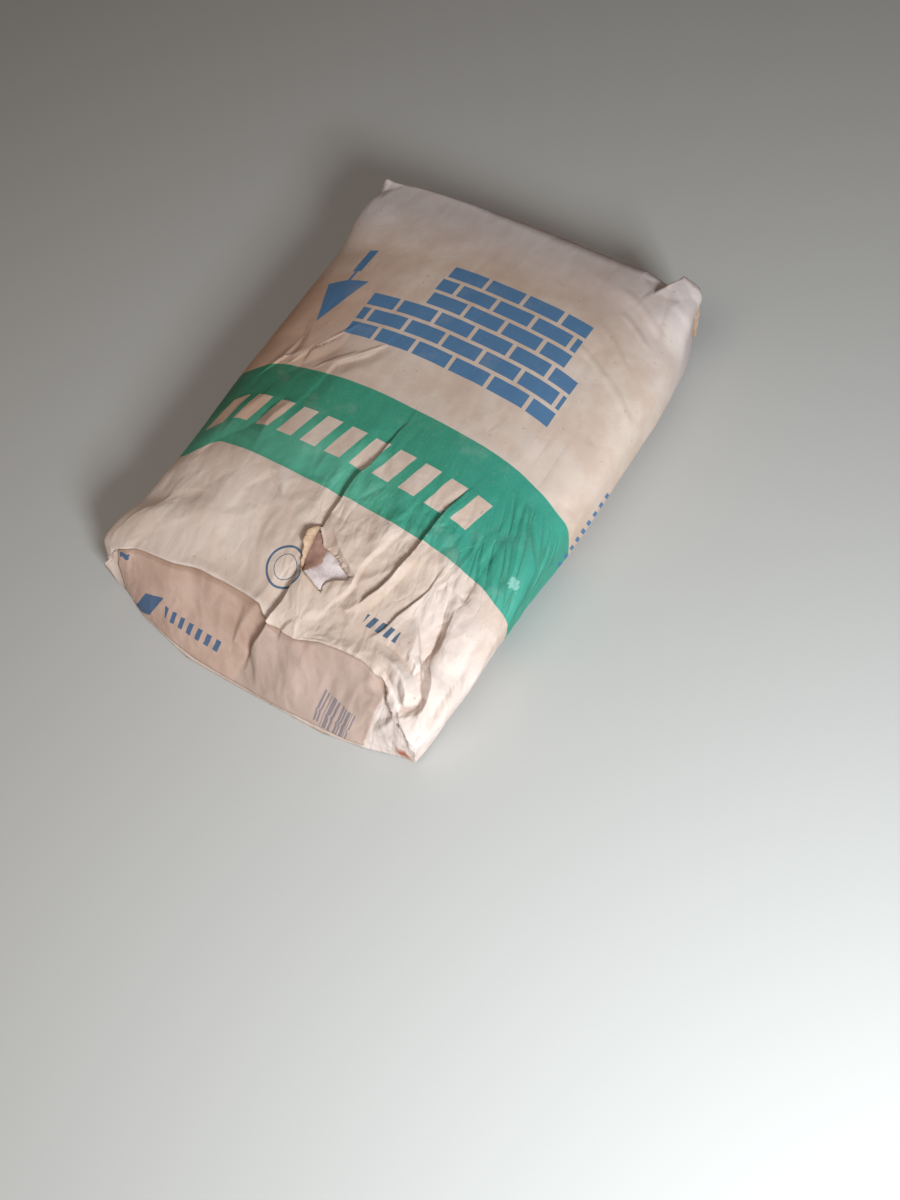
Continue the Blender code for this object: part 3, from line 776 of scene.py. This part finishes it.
class Value:
    """An output in a tree of nodes. Arithmetic on it adds Math nodes."""

    def __init__(self, tree, socket=None):
        self.tree, self.socket = tree, socket

    def node(self, kind, settings=None, inputs=None, output=0):
        """Adds a node: its settings first, then the numbers or the outputs that go into its sockets."""
        node = self.tree.nodes.new(kind)
        for name, setting in (settings or {}).items():
            setattr(node, name, setting)
        self.feed(node, inputs or {})
        return None if output is None else Value(self.tree, node.outputs[output])

    def feed(self, node, inputs):
        """Puts numbers, colours and outputs into the sockets of a node."""
        for name, given in inputs.items():
            if isinstance(given, Value):
                self.tree.links.new(given.socket, node.inputs[name])
            else:
                node.inputs[name].default_value = given

    def maths(self, operation, *others):
        """A Math node on this value and another one, if it takes one."""
        return self.node("ShaderNodeMath", {"operation": operation}, dict(enumerate((self, *others))))

    def __add__(self, other):
        return self.maths("ADD", other)

    def __sub__(self, other):
        return self.maths("SUBTRACT", other)

    def __rsub__(self, other):
        return (self * -1.0).maths("ADD", other)

    def __mul__(self, other):
        return self.maths("MULTIPLY", other)

    def __truediv__(self, other):
        return self.maths("DIVIDE", other)

    def __pow__(self, other):
        return self.maths("POWER", other)

    def __neg__(self):
        return self * -1.0

    __radd__, __rmul__ = __add__, __mul__

    def smooth(self, low, high):
        """0 below low, 1 above high, and a smooth step between."""
        settings = {"interpolation_type": "SMOOTHSTEP"}
        return self.node("ShaderNodeMapRange", settings, {0: self, 1: low, 2: high})

    def between(self, low, high, soft):
        """1 between low and high, 0 outside, with edges this soft."""
        return self.smooth(low - soft, low + soft) * (1 - self.smooth(high - soft, high + soft))

    def noise(self, scale, detail=3.0, roughness=0.55, distortion=0.0):
        """A noise on this vector."""
        inputs = {"Scale": scale, "Detail": detail, "Roughness": roughness, "Distortion": distortion}
        return self.node("ShaderNodeTexNoise", {}, {"Vector": self, **inputs})

    def mixed(self, first, second):
        """The first colour where this value is 0 and the second where it is 1."""
        settings = {"data_type": "RGBA", "clamp_factor": True}
        return self.node("ShaderNodeMix", settings, {0: self, 6: first, 7: second}, output=2)


def linear(red, green, blue):
    """A colour given as 0 to 255, as the nodes take it."""
    parts = [v / 255 for v in (red, green, blue)]
    return tuple(v / 12.92 if v <= 0.04045 else ((v + 0.055) / 1.055) ** 2.4 for v in parts) + (1.0,)


def layered(tone, *layers):
    """A colour with others laid over it: how much of each, and its colour as 0 to 255."""
    for share, colour in layers:
        tone = share.mixed(tone, linear(*colour))
    return tone


def new_material(name):
    """A material, and the place of each point on the piece."""
    material = bpy.data.materials.new(name)
    material.use_nodes = True
    return material, Value(material.node_tree).node("ShaderNodeTexCoord", output=3)


def finish_material(material, tone, roughness, height=None, strength=1.0, distance=0.0014):
    """Puts a colour, a roughness and a relief on a material. A relief of 1 is as high as the distance."""
    shader, start = material.node_tree.nodes["Principled BSDF"], Value(material.node_tree)
    start.feed(shader, {"Base Color": tone, "Roughness": roughness})
    if height:
        relief = {"Strength": strength, "Distance": distance, "Height": height}
        start.feed(shader, {"Normal": start.node("ShaderNodeBump", {}, relief)})


def plain_paper(name, clouds, dark, light, flecks, share, fleck):
    """Bare brown paper: the scale of its clouds and its two tones, then the same for its flecks."""
    material, spot = new_material(name)
    tone = spot.noise(clouds, 3.0, 0.6).smooth(0.35, 0.65).mixed(linear(*dark), linear(*light))
    tone = layered(tone, (spot.noise(flecks, 2.0, 0.6).smooth(0.5, 0.75) * share, fleck))
    finish_material(material, tone, 0.9)
    return material


def on_paper_values(spot):
    """The place on the flat paper, in metres, and its two parts; how far the paper is creased there, in mm;
    and a slow noise in three parts.
    """
    on_flat = spot.node("ShaderNodeUVMap", {"uv_map": "flat"})
    s_print, t_print = (spot.node("ShaderNodeSeparateXYZ", {}, {0: on_flat}, output=n) for n in range(2))
    creases = spot.node("ShaderNodeAttribute", {"attribute_name": "creased"}, output=2)
    wavy = spot.node("ShaderNodeTexNoise", {}, {"Vector": on_flat, "Scale": 22.0, "Detail": 2.0}, output=1)
    return on_flat, s_print, t_print, creases, wavy


def cells(vector, wavy, wander, scale):
    """How far a point is from the edge of its cell, where the edges wander with a noise."""
    settings, inputs = {"operation": "MULTIPLY_ADD"}, {0: wavy, 1: wander, 2: vector}
    moved = vector.node("ShaderNodeVectorMath", settings, inputs)
    settings, inputs = {"feature": "DISTANCE_TO_EDGE"}, {"Vector": moved, "Scale": scale}
    return moved.node("ShaderNodeTexVoronoi", settings, inputs)


def oblong(s, t, left, right, low, high, soft=0.0003):
    """1 in an oblong of the paper, and 0 outside it."""
    return s.between(left, right, soft) * t.between(low, high, soft)


def bars(across, pitch, low, high, soft):
    """1 on a row of bars, each between two shares of the pitch."""
    return (across / pitch).maths("FRACT").between(low, high, soft)


kraft, spot = new_material("kraft_paper")
on_flat, s_print, t_print, creases, wavy = on_paper_values(spot)
# The ridges of the creases are paler from wear; their hollows are painted darker, as painted shade.
raised, sunk_shade = creases.smooth(0.05, 0.9), (-creases).smooth(0.05, 0.9)

# Long creases at the right end of the band, side by side.
across, along = s_print * 0.934 + t_print * 0.358, (t_print * 0.934 - s_print * 0.358) * 0.12
side_by_side = spot.node("ShaderNodeCombineXYZ", {}, {0: across, 1: along})
long_creases = cells(side_by_side, wavy, (0.010, 0, 0), 92.0)
gathered = oblong(s_print, t_print, 0.160, 0.240, BAND_LOW * MM, -0.010, 0.016)
# Painted shade along the long creases, which darkens the green there.
crease_shade = (1 - long_creases.smooth(0.0, 0.10)) * gathered
drawn = on_flat.node("ShaderNodeMapping", {}, {"Vector": on_flat, "Scale": (1.0, 0.22, 1.0)})
fibres = drawn.noise(2600.0, 2.0, 0.6)
threads = drawn.noise(900.0, 3.0, 0.7, 1.5)
mottle = spot.noise(26.0, 4.0, 0.6)
clouds = spot.noise(7.0, 2.0, 0.5)
grime = spot.noise(4.2, 5.0, 0.62, 0.4)
specks = spot.noise(420.0, 2.0, 0.7)
flecks = spot.noise(230.0, 1.0, 0.5)
# Painted shade: the paper and the green band turn darker and warmer towards the left side.
shaded_left = (-s_print).smooth(0.02, 0.17) * t_print.between(-0.09, 0.17, 0.06)
# Pale dust and painted light: the near right of the front is paler.
dust = s_print.smooth(0.10, 0.17) * (-t_print).smooth(0.06, 0.16) * (0.2 + mottle * 0.5)
# Painted light: the near left of the front is paler.
lit_near_left = (-s_print).smooth(0.0, 0.10) * (-t_print).smooth(0.09, 0.125)
tone = layered(
    mottle.smooth(0.35, 0.65).mixed(linear(200, 174, 157), linear(211, 189, 175)),
    (clouds.smooth(0.45, 0.75) * 0.35, (188, 152, 125)),
    (fibres.smooth(0.5, 0.8) * 0.22, (150, 110, 84)),
    (threads.smooth(0.55, 0.75) * 0.20, (226, 208, 194)),
    (shaded_left * 0.75, (176, 130, 100)),
    # Painted cool sheen: the paper turns greyer and bluer towards the far end.
    (t_print.smooth(0.17, 0.275) * (0.3 + clouds * 0.4), (194, 184, 186)),
    (dust, (232, 216, 210)),
    (lit_near_left * 0.30, (244, 220, 206)),
    (grime.smooth(0.52, 0.74) * 0.34, (150, 118, 98)),
    (flecks.smooth(0.76, 0.79) * 0.5, (128, 98, 78)),
    (raised * 0.30, (228, 208, 194)),
    # Painted shade in the hollows of the creases.
    (sunk_shade * 0.42, (148, 114, 92)),
)

# The prints: a green band with a row of leaning marks, a wall and a trowel in blue, rings and rows of bars.
band = t_print.between(BAND_LOW * MM, BAND_HIGH * MM, 0.0004)
leaning = s_print + t_print * -0.3 + 0.165
marks = (leaning.maths("MODULO", 0.030) / 0.030).between(0.10, 0.72, 0.015)
marks = marks * oblong(leaning, t_print, 0.0, 0.33, -0.070, -0.035)
COURSE, BRICK = 0.0205, 0.046  # how high and how long a printed brick is
course = (t_print / COURSE).maths("FLOOR")
in_course = t_print / COURSE - course
staggered = s_print / BRICK + course * 0.5 + 20.0
in_brick = staggered - staggered.maths("FLOOR")
bricks = in_brick.between(0.05, 0.95, 0.008) * in_course.between(0.10, 0.90, 0.015)
low_wall = oblong(s_print, t_print, -0.104, 0.145, 3 * COURSE, 6 * COURSE)
high_wall = oblong(s_print, t_print, -0.046, 0.124, 6 * COURSE, 9 * COURSE)
from_trowel = (s_print + 0.146).maths("ABSOLUTE")
blade = 1 - (from_trowel - (t_print - 0.072) * 0.40).smooth(-0.0003, 0.0003)
trowel = blade * t_print.between(0.072, 0.134, 0.0003)
# The trowel's neck and grip: half their width, and where they start and end.
for half, low, high in ((0.0018, 0.130, 0.150), (0.0055, 0.148, 0.182)):
    stroke = 1 - from_trowel.smooth(half - 0.0003, half + 0.0003)
    trowel = trowel + stroke * t_print.between(low, high, 0.0003)


def away_from(s_at, t_at, stretch=1.0):
    """How far a point of the paper is from a place on it, in metres, less across by a stretch."""
    return (((s_print - s_at) / stretch) ** 2.0 + (t_print - t_at) ** 2.0) ** 0.5


from_ring = away_from(0.004, -0.184)
ring = from_ring.between(0.0185, 0.0208, 0.0002) + from_ring.between(0.0118, 0.0126, 0.0002)
short_bars = bars(s_print + t_print * -0.3 - 0.150, 0.0092, 0.12, 0.66, 0.03)
short_bars = short_bars * oblong(s_print, t_print - s_print * 0.07, 0.099, 0.1355, -0.1990, -0.1885, 0.0002)
side_bars = bars(t_print + s_print * -0.5, 0.0115, 0.15, 0.62, 0.03)
side_bars = side_bars * oblong(s_print, t_print, 0.249, 0.262, -0.012, 0.092, 0.0002)
blue_print = (bricks * (low_wall + high_wall) + trowel + ring + short_bars + side_bars).maths("MINIMUM", 1.0)
scuff = 1 - (away_from(0.205, -0.076) + (specks - 0.5) * 0.013).smooth(0.0045, 0.0060)
ink_worn = specks.smooth(0.60, 0.76) * 0.3 + mottle.smooth(0.55, 0.8) * 0.25
ink_worn = ink_worn + raised * specks.smooth(0.42, 0.62) * 0.22
ink_worn = (ink_worn + scuff * 0.8).maths("MINIMUM", 1.0)
inked = band * (1 - marks) * (1 - ink_worn * 0.62)
# Painted sheen: the lower part of the band, left of the middle, is lighter and greyer, as where glossy ink
# catches the light.
band_sheen = t_print.between(BAND_LOW * MM, -0.048, 0.010) * (1 - s_print.smooth(-0.02, 0.10))
band_sheen = band_sheen * (0.3 + mottle * 0.6)
green = layered(
    (threads.smooth(0.4, 0.7) * 0.45).mixed(linear(36, 136, 108), linear(66, 156, 128)),
    (band_sheen, (92, 172, 144)),
    (shaded_left * 0.7, (22, 92, 56)),
    # Painted cool light: the green turns more teal towards the right.
    (s_print.smooth(0.04, 0.16) * 0.5, (22, 144, 126)),
    # Painted shade in the hollows of the creases and along the long creases of the band.
    (sunk_shade * 0.5 + crease_shade * 0.45, (24, 98, 76)),
)
tone = layered((inked * 0.97).mixed(tone, green), (scuff * band * 0.55, (100, 190, 178)))
blue = (ring + short_bars).maths("MINIMUM", 1.0).mixed(linear(58, 108, 148), linear(58, 86, 110))
tone = (blue_print * (1 - ink_worn * 0.55) * 0.94).mixed(tone, blue)
rust = 1 - (away_from(0.195, -0.286, 1.4) + (grime - 0.5) * 0.02).smooth(0.003, 0.0095)
tone = layered(tone, (rust * 0.9, (158, 82, 46)))

# The facets of handled paper stand out most at the near right. The other grain is the fibres of the paper.
turned = {"Vector": on_flat, "Scale": (1.0, 0.5, 1.0), "Rotation": (0, 0, 0.35)}
narrow = on_flat.node("ShaderNodeMapping", {}, turned)
facets = [cells(narrow, wavy, (0.02, 0.02, 0.0), scale) for scale in (62.0, 150.0)]
handled = 0.06 + (-t_print).smooth(-0.02, 0.11) * (0.16 + s_print.smooth(-0.08, 0.04) * 0.84)
handled = handled * (0.45 + mottle.smooth(0.35, 0.65) * 0.75)
grain = (facets[0] * 1.7 + facets[1] * 0.3) * handled * (1 - gathered * 0.7) + long_creases * gathered * 4.0
grain = grain + (fibres * 0.5 + threads + mottle * 2.0) * 0.06


def crest(start, end, width):
    """A thin crest on the paper between two places: 1 on its line and 0 where it's this far off."""
    length = math.dist(start, end)
    run, rise = (end[0] - start[0]) / length, (end[1] - start[1]) / length
    on, up = s_print - start[0], t_print - start[1]
    aside = (on * -rise + up * run + (mottle - 0.5) * 0.004).maths("ABSOLUTE")
    return (1 - aside.smooth(0.0, width)) * (on * run + up * rise).between(0.0, length, length * 0.15)


for start_at, end_at, wide, high in (
    ((-0.093, 0.022), (-0.050, 0.062), 0.0035, 0.4), ((-0.139, 0.012), (-0.097, 0.075), 0.0035, 0.4),
    ((-0.166, -0.002), (-0.146, 0.024), 0.0035, 0.4), ((-0.106, 0.014), (-0.074, 0.044), 0.0035, 0.4),
    ((0.127, 0.241), (0.183, 0.228), 0.008, 0.6), ((0.137, 0.217), (0.179, 0.207), 0.006, 0.5),
    ((0.157, 0.265), (0.196, 0.265), 0.008, 0.6), ((0.124, 0.155), (0.165, 0.145), 0.006, 0.5),
    ((0.160, 0.146), (0.208, 0.136), 0.008, 0.6), ((0.127, 0.192), (0.178, 0.168), 0.007, 0.5),
):
    grain = grain + crest(start_at, end_at, wide) * high
finish_material(kraft, tone, 0.86 - inked * 0.26 + mottle * 0.06, grain)
sack.data.materials.append(kraft)

# The paper's reverse is browner. It shows where the lip of the tear curls back.
reverse = plain_paper("kraft_reverse", 120.0, (184, 148, 118), (204, 170, 142), 900.0, 0.3, (150, 106, 72))
sack.data.materials.append(reverse)
near_floor = all_places[:, 2] < 1.5
SACK_SHARE = 0.61  # how much of its faces is left when the smallest are merged, first on the floor
thinned(sack, SACK_SHARE, near_floor[np.unique(all_squares)])
finish_sheet(sack, PAPER_THICK, reverse=1)
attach(sack, "root")
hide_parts("paper_sack")


# The torn fibres

# Paper tears into a fringe of fibres. They stand off the whole edge of the tear, each thin and a little bent.
fringe = bpy.data.node_groups.new("torn_fibres", "GeometryNodeTree")
sockets = {
    "Geometry": "Geometry", "Fibres": "Int", "Length": "Float", "Width": "Float", "Material": "Material",
}
sockets = {
    name: fringe.interface.new_socket(name, in_out="INPUT", socket_type="NodeSocket" + kind)
    for name, kind in sockets.items()
}
fringe.interface.new_socket("Geometry", in_out="OUTPUT", socket_type="NodeSocketGeometry")
start = Value(fringe)
edge_in, number_in, length_in, width_in, material_in = (
    start.node("NodeGroupInput", output=n) for n in range(5)
)
edge_curve = start.node("GeometryNodeMeshToCurve", {}, {"Mesh": edge_in})
roots = start.node("GeometryNodeCurveToPoints", {"mode": "COUNT"}, {"Curve": edge_curve, "Count": number_in})
fibre = start.node("GeometryNodeMeshCone", {}, {
    "Vertices": 3, "Side Segments": 3, "Radius Top": 0.0, "Radius Bottom": width_in, "Depth": length_in,
})
up_fibre = start.node("ShaderNodeSeparateXYZ", {}, {0: start.node("GeometryNodeInputPosition")}, output=2)
bend = up_fibre * up_fibre / length_in * 0.6
bent = start.node("ShaderNodeCombineXYZ", {}, {0: bend})
fibre = start.node("GeometryNodeSetPosition", {}, {"Geometry": fibre, "Offset": bent})
turn = start.node(
    "FunctionNodeRandomValue", {"data_type": "FLOAT_VECTOR"}, {0: (0.5, 0.0, 0.0), 1: (1.7, 0.0, 6.28), 8: 4}
)
size = start.node("FunctionNodeRandomValue", {"data_type": "FLOAT"}, {2: 0.35, 3: 1.3, 8: 7}, output=1)
placed = {"Points": roots, "Instance": fibre, "Rotation": turn, "Scale": size}
placed = start.node("GeometryNodeInstanceOnPoints", {}, placed)
plain = start.node("GeometryNodeRealizeInstances", {}, {"Geometry": placed})
plain = start.node("GeometryNodeSetMaterial", {}, {"Geometry": plain, "Material": material_in})
start.node("NodeGroupOutput", {}, {"Geometry": plain}, output=None)

torn_edge = bpy.data.meshes.new("torn_fibres")
around = [(n, (n + 1) % len(hole)) for n in range(len(hole))]
torn_edge.from_pydata((ring_places[-1] * MM).tolist(), around, [])
fibres_on_edge = new_object("torn_fibres", torn_edge)
grown = fibres_on_edge.modifiers.new("fibres", "NODES")
grown.node_group = fringe
for name, given in (("Fibres", 150), ("Length", 0.0022), ("Width", 0.00010), ("Material", reverse)):
    grown[sockets[name].identifier] = given
applied(fibres_on_edge)
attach(fibres_on_edge, "root")


# The end patches

# Each end of the tube is folded into a block, like a parcel, and a sheet of browner kraft paper is pasted
# over it. The near one has come in under the rim with the folds of the slack front, and is printed in blue.
PATCH_OUT = 0.7  # how far a patch stands out from the sack, in mm


def patch_on(name, side, keep):
    """A sheet laid on the part of one end for which keep holds, with that end's folds."""
    chosen = squares[(sides == side) & keep(corners[squares].mean(1))]
    lifted = places + normals * (relief + PATCH_OUT)[:, None]
    patch = sheet_object(name, lifted, chosen, flat_ends[chosen].reshape(-1, 2), creased)
    finish_sheet(patch, PAPER_THICK)
    return patch


near_patch = patch_on(
    "near_end_patch", "near", lambda at: (np.abs(at[:, 0] + 0.1) < 0.82) & (np.abs(at[:, 2] - 0.03) < 0.93)
)
far_patch = patch_on(
    "valve_end_patch_sheet", "far", lambda at: (np.abs(at[:, 0]) < 0.88) & (np.abs(at[:, 2]) < 0.8)
)
patch_paper, spot = new_material("patch_paper")
on_flat, s_print, t_print, creases, wavy = on_paper_values(spot)
drawn = spot.node("ShaderNodeMapping", {}, {"Vector": on_flat, "Scale": (0.22, 1.0, 1.0)})
fibres = drawn.noise(2400.0, 2.0, 0.6)
tone = layered(
    spot.noise(24.0, 4.0, 0.6).smooth(0.35, 0.65).mixed(linear(190, 155, 136), linear(205, 171, 153)),
    ((s_print - (t_print + 0.245) * 0.37 - 0.009).smooth(-0.003, 0.003) * 0.8, (182, 156, 143)),
    (fibres.smooth(0.5, 0.8) * 0.25, (140, 100, 76)),
    (spot.noise(6.0, 4.0, 0.6).smooth(0.5, 0.75) * 0.35, (158, 122, 102)),
    (creases.smooth(0.05, 0.8) * 0.3, (222, 196, 178)),
    # Painted shade in the hollows of the creases.
    ((-creases).smooth(0.05, 0.8) * 0.4, (140, 104, 84)),
)
block_across = s_print - t_print * 0.12
stripe = (block_across * 1100.0).maths("FLOOR")
stripes = stripe.node("ShaderNodeTexWhiteNoise", {"noise_dimensions": "1D"}, {"W": stripe}).smooth(0.42, 0.44)
block = oblong(block_across, t_print + s_print * 0.12, 0.124, 0.166, -0.300, -0.262, 0.0002)
small_bars = bars(s_print + t_print * -0.3 - 0.150, 0.0125, 0.12, 0.62, 0.02)
small_bars = small_bars * oblong(s_print, t_print, -0.122, -0.040, -0.3025, -0.2885, 0.0002)
x_on, y_on, z_on = (spot.node("ShaderNodeSeparateXYZ", {}, {0: spot}, output=n) for n in range(3))
square = oblong(x_on - z_on * 0.8, z_on - x_on * 0.3, -0.172, -0.151, 0.0530, 0.0735, 0.0002)
square = square * (1 - y_on.smooth(-0.01, 0.01))
corner = oblong(s_print, t_print, -0.194, -0.178, -0.2425, -0.235, 0.0002)
ink_left = 1 - spot.noise(420.0, 2.0, 0.7).smooth(0.60, 0.76) * 0.4
blue_print = (small_bars + square + corner) * ink_left * 0.92
tone = layered(tone, (blue_print, (52, 92, 130)), (block * stripes * ink_left * 0.62, (84, 88, 108)))
facets = cells(on_flat, wavy, (0.02, 0.02, 0.0), 38.0)
finish_material(patch_paper, tone, 0.88, facets * 0.8 + fibres * 0.03)
for patch, node in ((near_patch, "end_patch"), (far_patch, "valve_end_patch")):
    patch.data.materials.append(patch_paper)
    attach(patch, "root")
    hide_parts(node)


# The inner ply

# The sack's second sheet of kraft paper, under the first. Its own tear is smaller and further to the right.
INNER_TEAR = (
    (19, -146), (26, -147), (32, -151), (31, -157), (32, -166), (30, -172), (25, -177), (18, -180),
    (17, -187), (30, -190), (47, -193), (54, -189), (51, -183), (57, -178), (65, -173), (71, -168),
    (69, -161), (60, -157), (50, -151), (40, -148), (28, -145),
)
INNER_DEPTH = 1.2  # how far the ply is under the face of the outer one, in mm
# Under the hole, the layers don't follow the folds of the outer ply.
hollow = smoothed(inside(places[:, :2], tear) * 1.0, squares, 10)
settled = smoothed(relief, squares, 40)
beneath = np.minimum(relief, settled) * (1 - hollow) + settled * hollow
under = places + normals * (beneath - INNER_DEPTH)[:, None]
stay_inner, _, under = torn_hole(under, np.array(INNER_TEAR, float), 33, 0.5)
near_tear = np.linalg.norm(under[squares].mean(1)[:, :2] - tear.mean(0), axis=1) < 42
chosen = squares[stay_inner & near_tear & (sides == "front")]
inner_ply = sheet_object("inner_ply", under, chosen, flat[chosen].reshape(-1, 2))
finish_sheet(inner_ply, 0.3)
# Its paper is painted darker than the outer ply's: painted shade, for the hollow under the tear that it lies
# in.
inner_ply.data.materials.append(
    plain_paper("inner_ply_paper", 140.0, (150, 112, 98), (170, 130, 114), 900.0, 0.35, (126, 90, 74))
)
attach(inner_ply, "root")


# The valve sleeve

# A flattened tube of brown kraft paper, pasted into the fold of the far end. The bag is filled through its
# mouth, which comes out at the right side and is pressed shut by the cement.
low_corner, high_corner = (np.array(corner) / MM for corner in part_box("valve_sleeve"))
turns = np.linspace(0, 2 * np.pi, 57)[:-1]
stations = np.linspace(0, 1, 41)
middle_y, middle_z = (low_corner[1] + high_corner[1]) / 2, (low_corner[2] + high_corner[2]) / 2
half_z = (high_corner[2] - low_corner[2]) / 2
sleeve_places, sleeve_squares = [], []
dice = np.random.default_rng(9)
rough_edge = evened(dice.normal(0, 1, len(turns)), 2)
for n, share in enumerate(stations):
    gape = 1.2 + 2.2 * max(0.0, share - 0.7) / 0.3
    for m, turn in enumerate(turns):
        flat_side = np.sign(np.sin(turn)) * abs(np.sin(turn)) ** 0.6
        bow = 0.5 * np.sin(share * 9 + 2 * np.cos(turn)) * np.sin(turn) ** 2
        edge = share == 1.0
        sleeve_places.append((
            low_corner[0] + share * (high_corner[0] - low_corner[0]) + edge * 0.8 * rough_edge[m],
            middle_y + flat_side * (gape / 2) + bow, middle_z + half_z * np.cos(turn),
        ))
        if n:
            before, after = (n - 1) * len(turns), n * len(turns)
            k = (m + 1) % len(turns)
            sleeve_squares.append((before + m, before + k, after + k, after + m))
sleeve = sheet_object("valve_tube", np.array(sleeve_places), np.array(sleeve_squares))
finish_sheet(sleeve, PAPER_THICK)
sleeve.data.materials.append(
    plain_paper("sleeve_paper", 60.0, (180, 146, 120), (198, 168, 144), 800.0, 0.3, (128, 94, 66))
)
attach(sleeve, "root")
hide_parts("valve_sleeve")


# The liner film

# A bag of thin milky plastic between the plies and the cement, which keeps the damp out. Through the tear it
# shows whole, creased, and dull with cement dust.
FILM_DEPTH = 4.8  # how far the film is under the face of the sack, in mm, before it gives way near the tear
FILM_SHARE = 0.12  # how much of its faces is left when the smallest are merged, first away from the tear
film_dents = crumpled(x, y, 12, (5.0, 8.0), 0.35 * np.exp(-((from_tear / 40.0) ** 2)))
merged = np.round(part_way(np.hypot(x - 38, y + 165) - 40, 40), 1)
raised_edge = 2.2 * np.exp(-((off_line(x, y, TEAR[6:10])[0] / 7.0) ** 2))
depth = FILM_DEPTH - 1.6 * hollow**2 - raised_edge + 1.2 * merged
film_sheet = places + normals * (beneath + film_dents - depth)[:, None]
# The film stays back from the thin folded corner and from the sharp lower edges of the two ends.
near_ear = part_way(-x - 175, 25) * part_way(-y - 225, 25)
film_sheet = film_sheet + near_ear[:, None] * np.array((8.0, 9.0, 0.0))
low_edges = part_way(np.abs(y) - 245, 20) * part_way(25 - places[:, 2], 15)
film_sheet[:, 1] -= 8.0 * low_edges * np.sign(y)
film = sheet_object("liner_bag", film_sheet, squares)
thinned(film, FILM_SHARE, merged)
film_finish, spot = new_material("liner_film")
dust = spot.noise(60.0, 5.0, 0.65)
tone = layered(
    dust.smooth(0.4, 0.7).mixed(linear(226, 208, 204), linear(198, 176, 170)),
    (spot.noise(700.0, 2.0, 0.6).smooth(0.55, 0.7) * 0.4, (150, 142, 136)),
)
finish_material(film_finish, tone, 0.32 + dust * 0.4, spot.noise(150.0, 3.0, 0.5, 1.2), 0.4, 0.0008)
film.data.materials.append(film_finish)
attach(film, "root")
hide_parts("liner_film")


# The cement

# Grey cement powder, packed hard. It gives the bag its shape, and none of it shows unless the liner is open.
CEMENT_DEPTH = 11.0  # how far the cement is under the full shape, in mm
packed = bag_surface(*coarse_corners.T)
packed = (packed - CEMENT_DEPTH * outward(packed, coarse_squares)) * (0.98, 0.95, 1.0)
cement = sheet_object("packed_cement", packed, coarse_squares)
powder, spot = new_material("cement_powder")
tone = layered(
    spot.noise(18.0, 4.0, 0.6).smooth(0.35, 0.65).mixed(linear(128, 128, 122), linear(148, 147, 140)),
    (spot.noise(1500.0, 2.0, 0.6).smooth(0.5, 0.75) * 0.4, (104, 104, 100)),
)
finish_material(powder, tone, 0.95, spot.noise(1500.0, 3.0, 0.7), 0.6, 0.0004)
cement.data.materials.append(powder)
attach(cement, "root")
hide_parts("cement_fill")


# The floor and the light

# A plain pale floor, and two square lamps: a cool one low at the right, which draws the shadows, and a weak
# warm one above the near end. An even warm light comes from all round.
floor_mesh = bpy.data.meshes.new("floor")
floor_mesh.from_pydata([(-6, -6, 0), (6, -6, 0), (6, 6, 0), (-6, 6, 0)], [], [(0, 1, 2, 3)])
floor = new_object("floor", floor_mesh)
floor_finish, _ = new_material("studio_floor")
finish_material(floor_finish, (0.52, 0.49, 0.46, 1), 0.9)
floor.data.materials.append(floor_finish)


def soft_light(name, place, aim, size, power, colour):
    """A square lamp, aimed at a point."""
    data = bpy.data.lights.new(name, "AREA")
    data.shape = "SQUARE"
    data.size, data.energy, data.color = size, power, colour
    lamp = new_object(name, data)
    lamp.location = place
    lamp.rotation_euler = (Vector(aim) - Vector(place)).to_track_quat("-Z", "Y").to_euler()


soft_light("key", (1.10, -0.64, 0.71), (0.05, -0.08, 0.05), 0.34, 24, (0.82, 0.93, 1.0))
soft_light("fill", (-0.05, -0.9, 1.6), (0, 0, 0.05), 1.0, 7, (1.0, 0.92, 0.86))
world = bpy.data.worlds.new("studio")
world.use_nodes = True
around_it = world.node_tree.nodes["Background"].inputs
around_it["Color"].default_value = (1.0, 0.94, 0.88, 1)
around_it["Strength"].default_value = 0.13
bpy.context.scene.world = world
bpy.context.scene.view_settings.view_transform = "Standard"
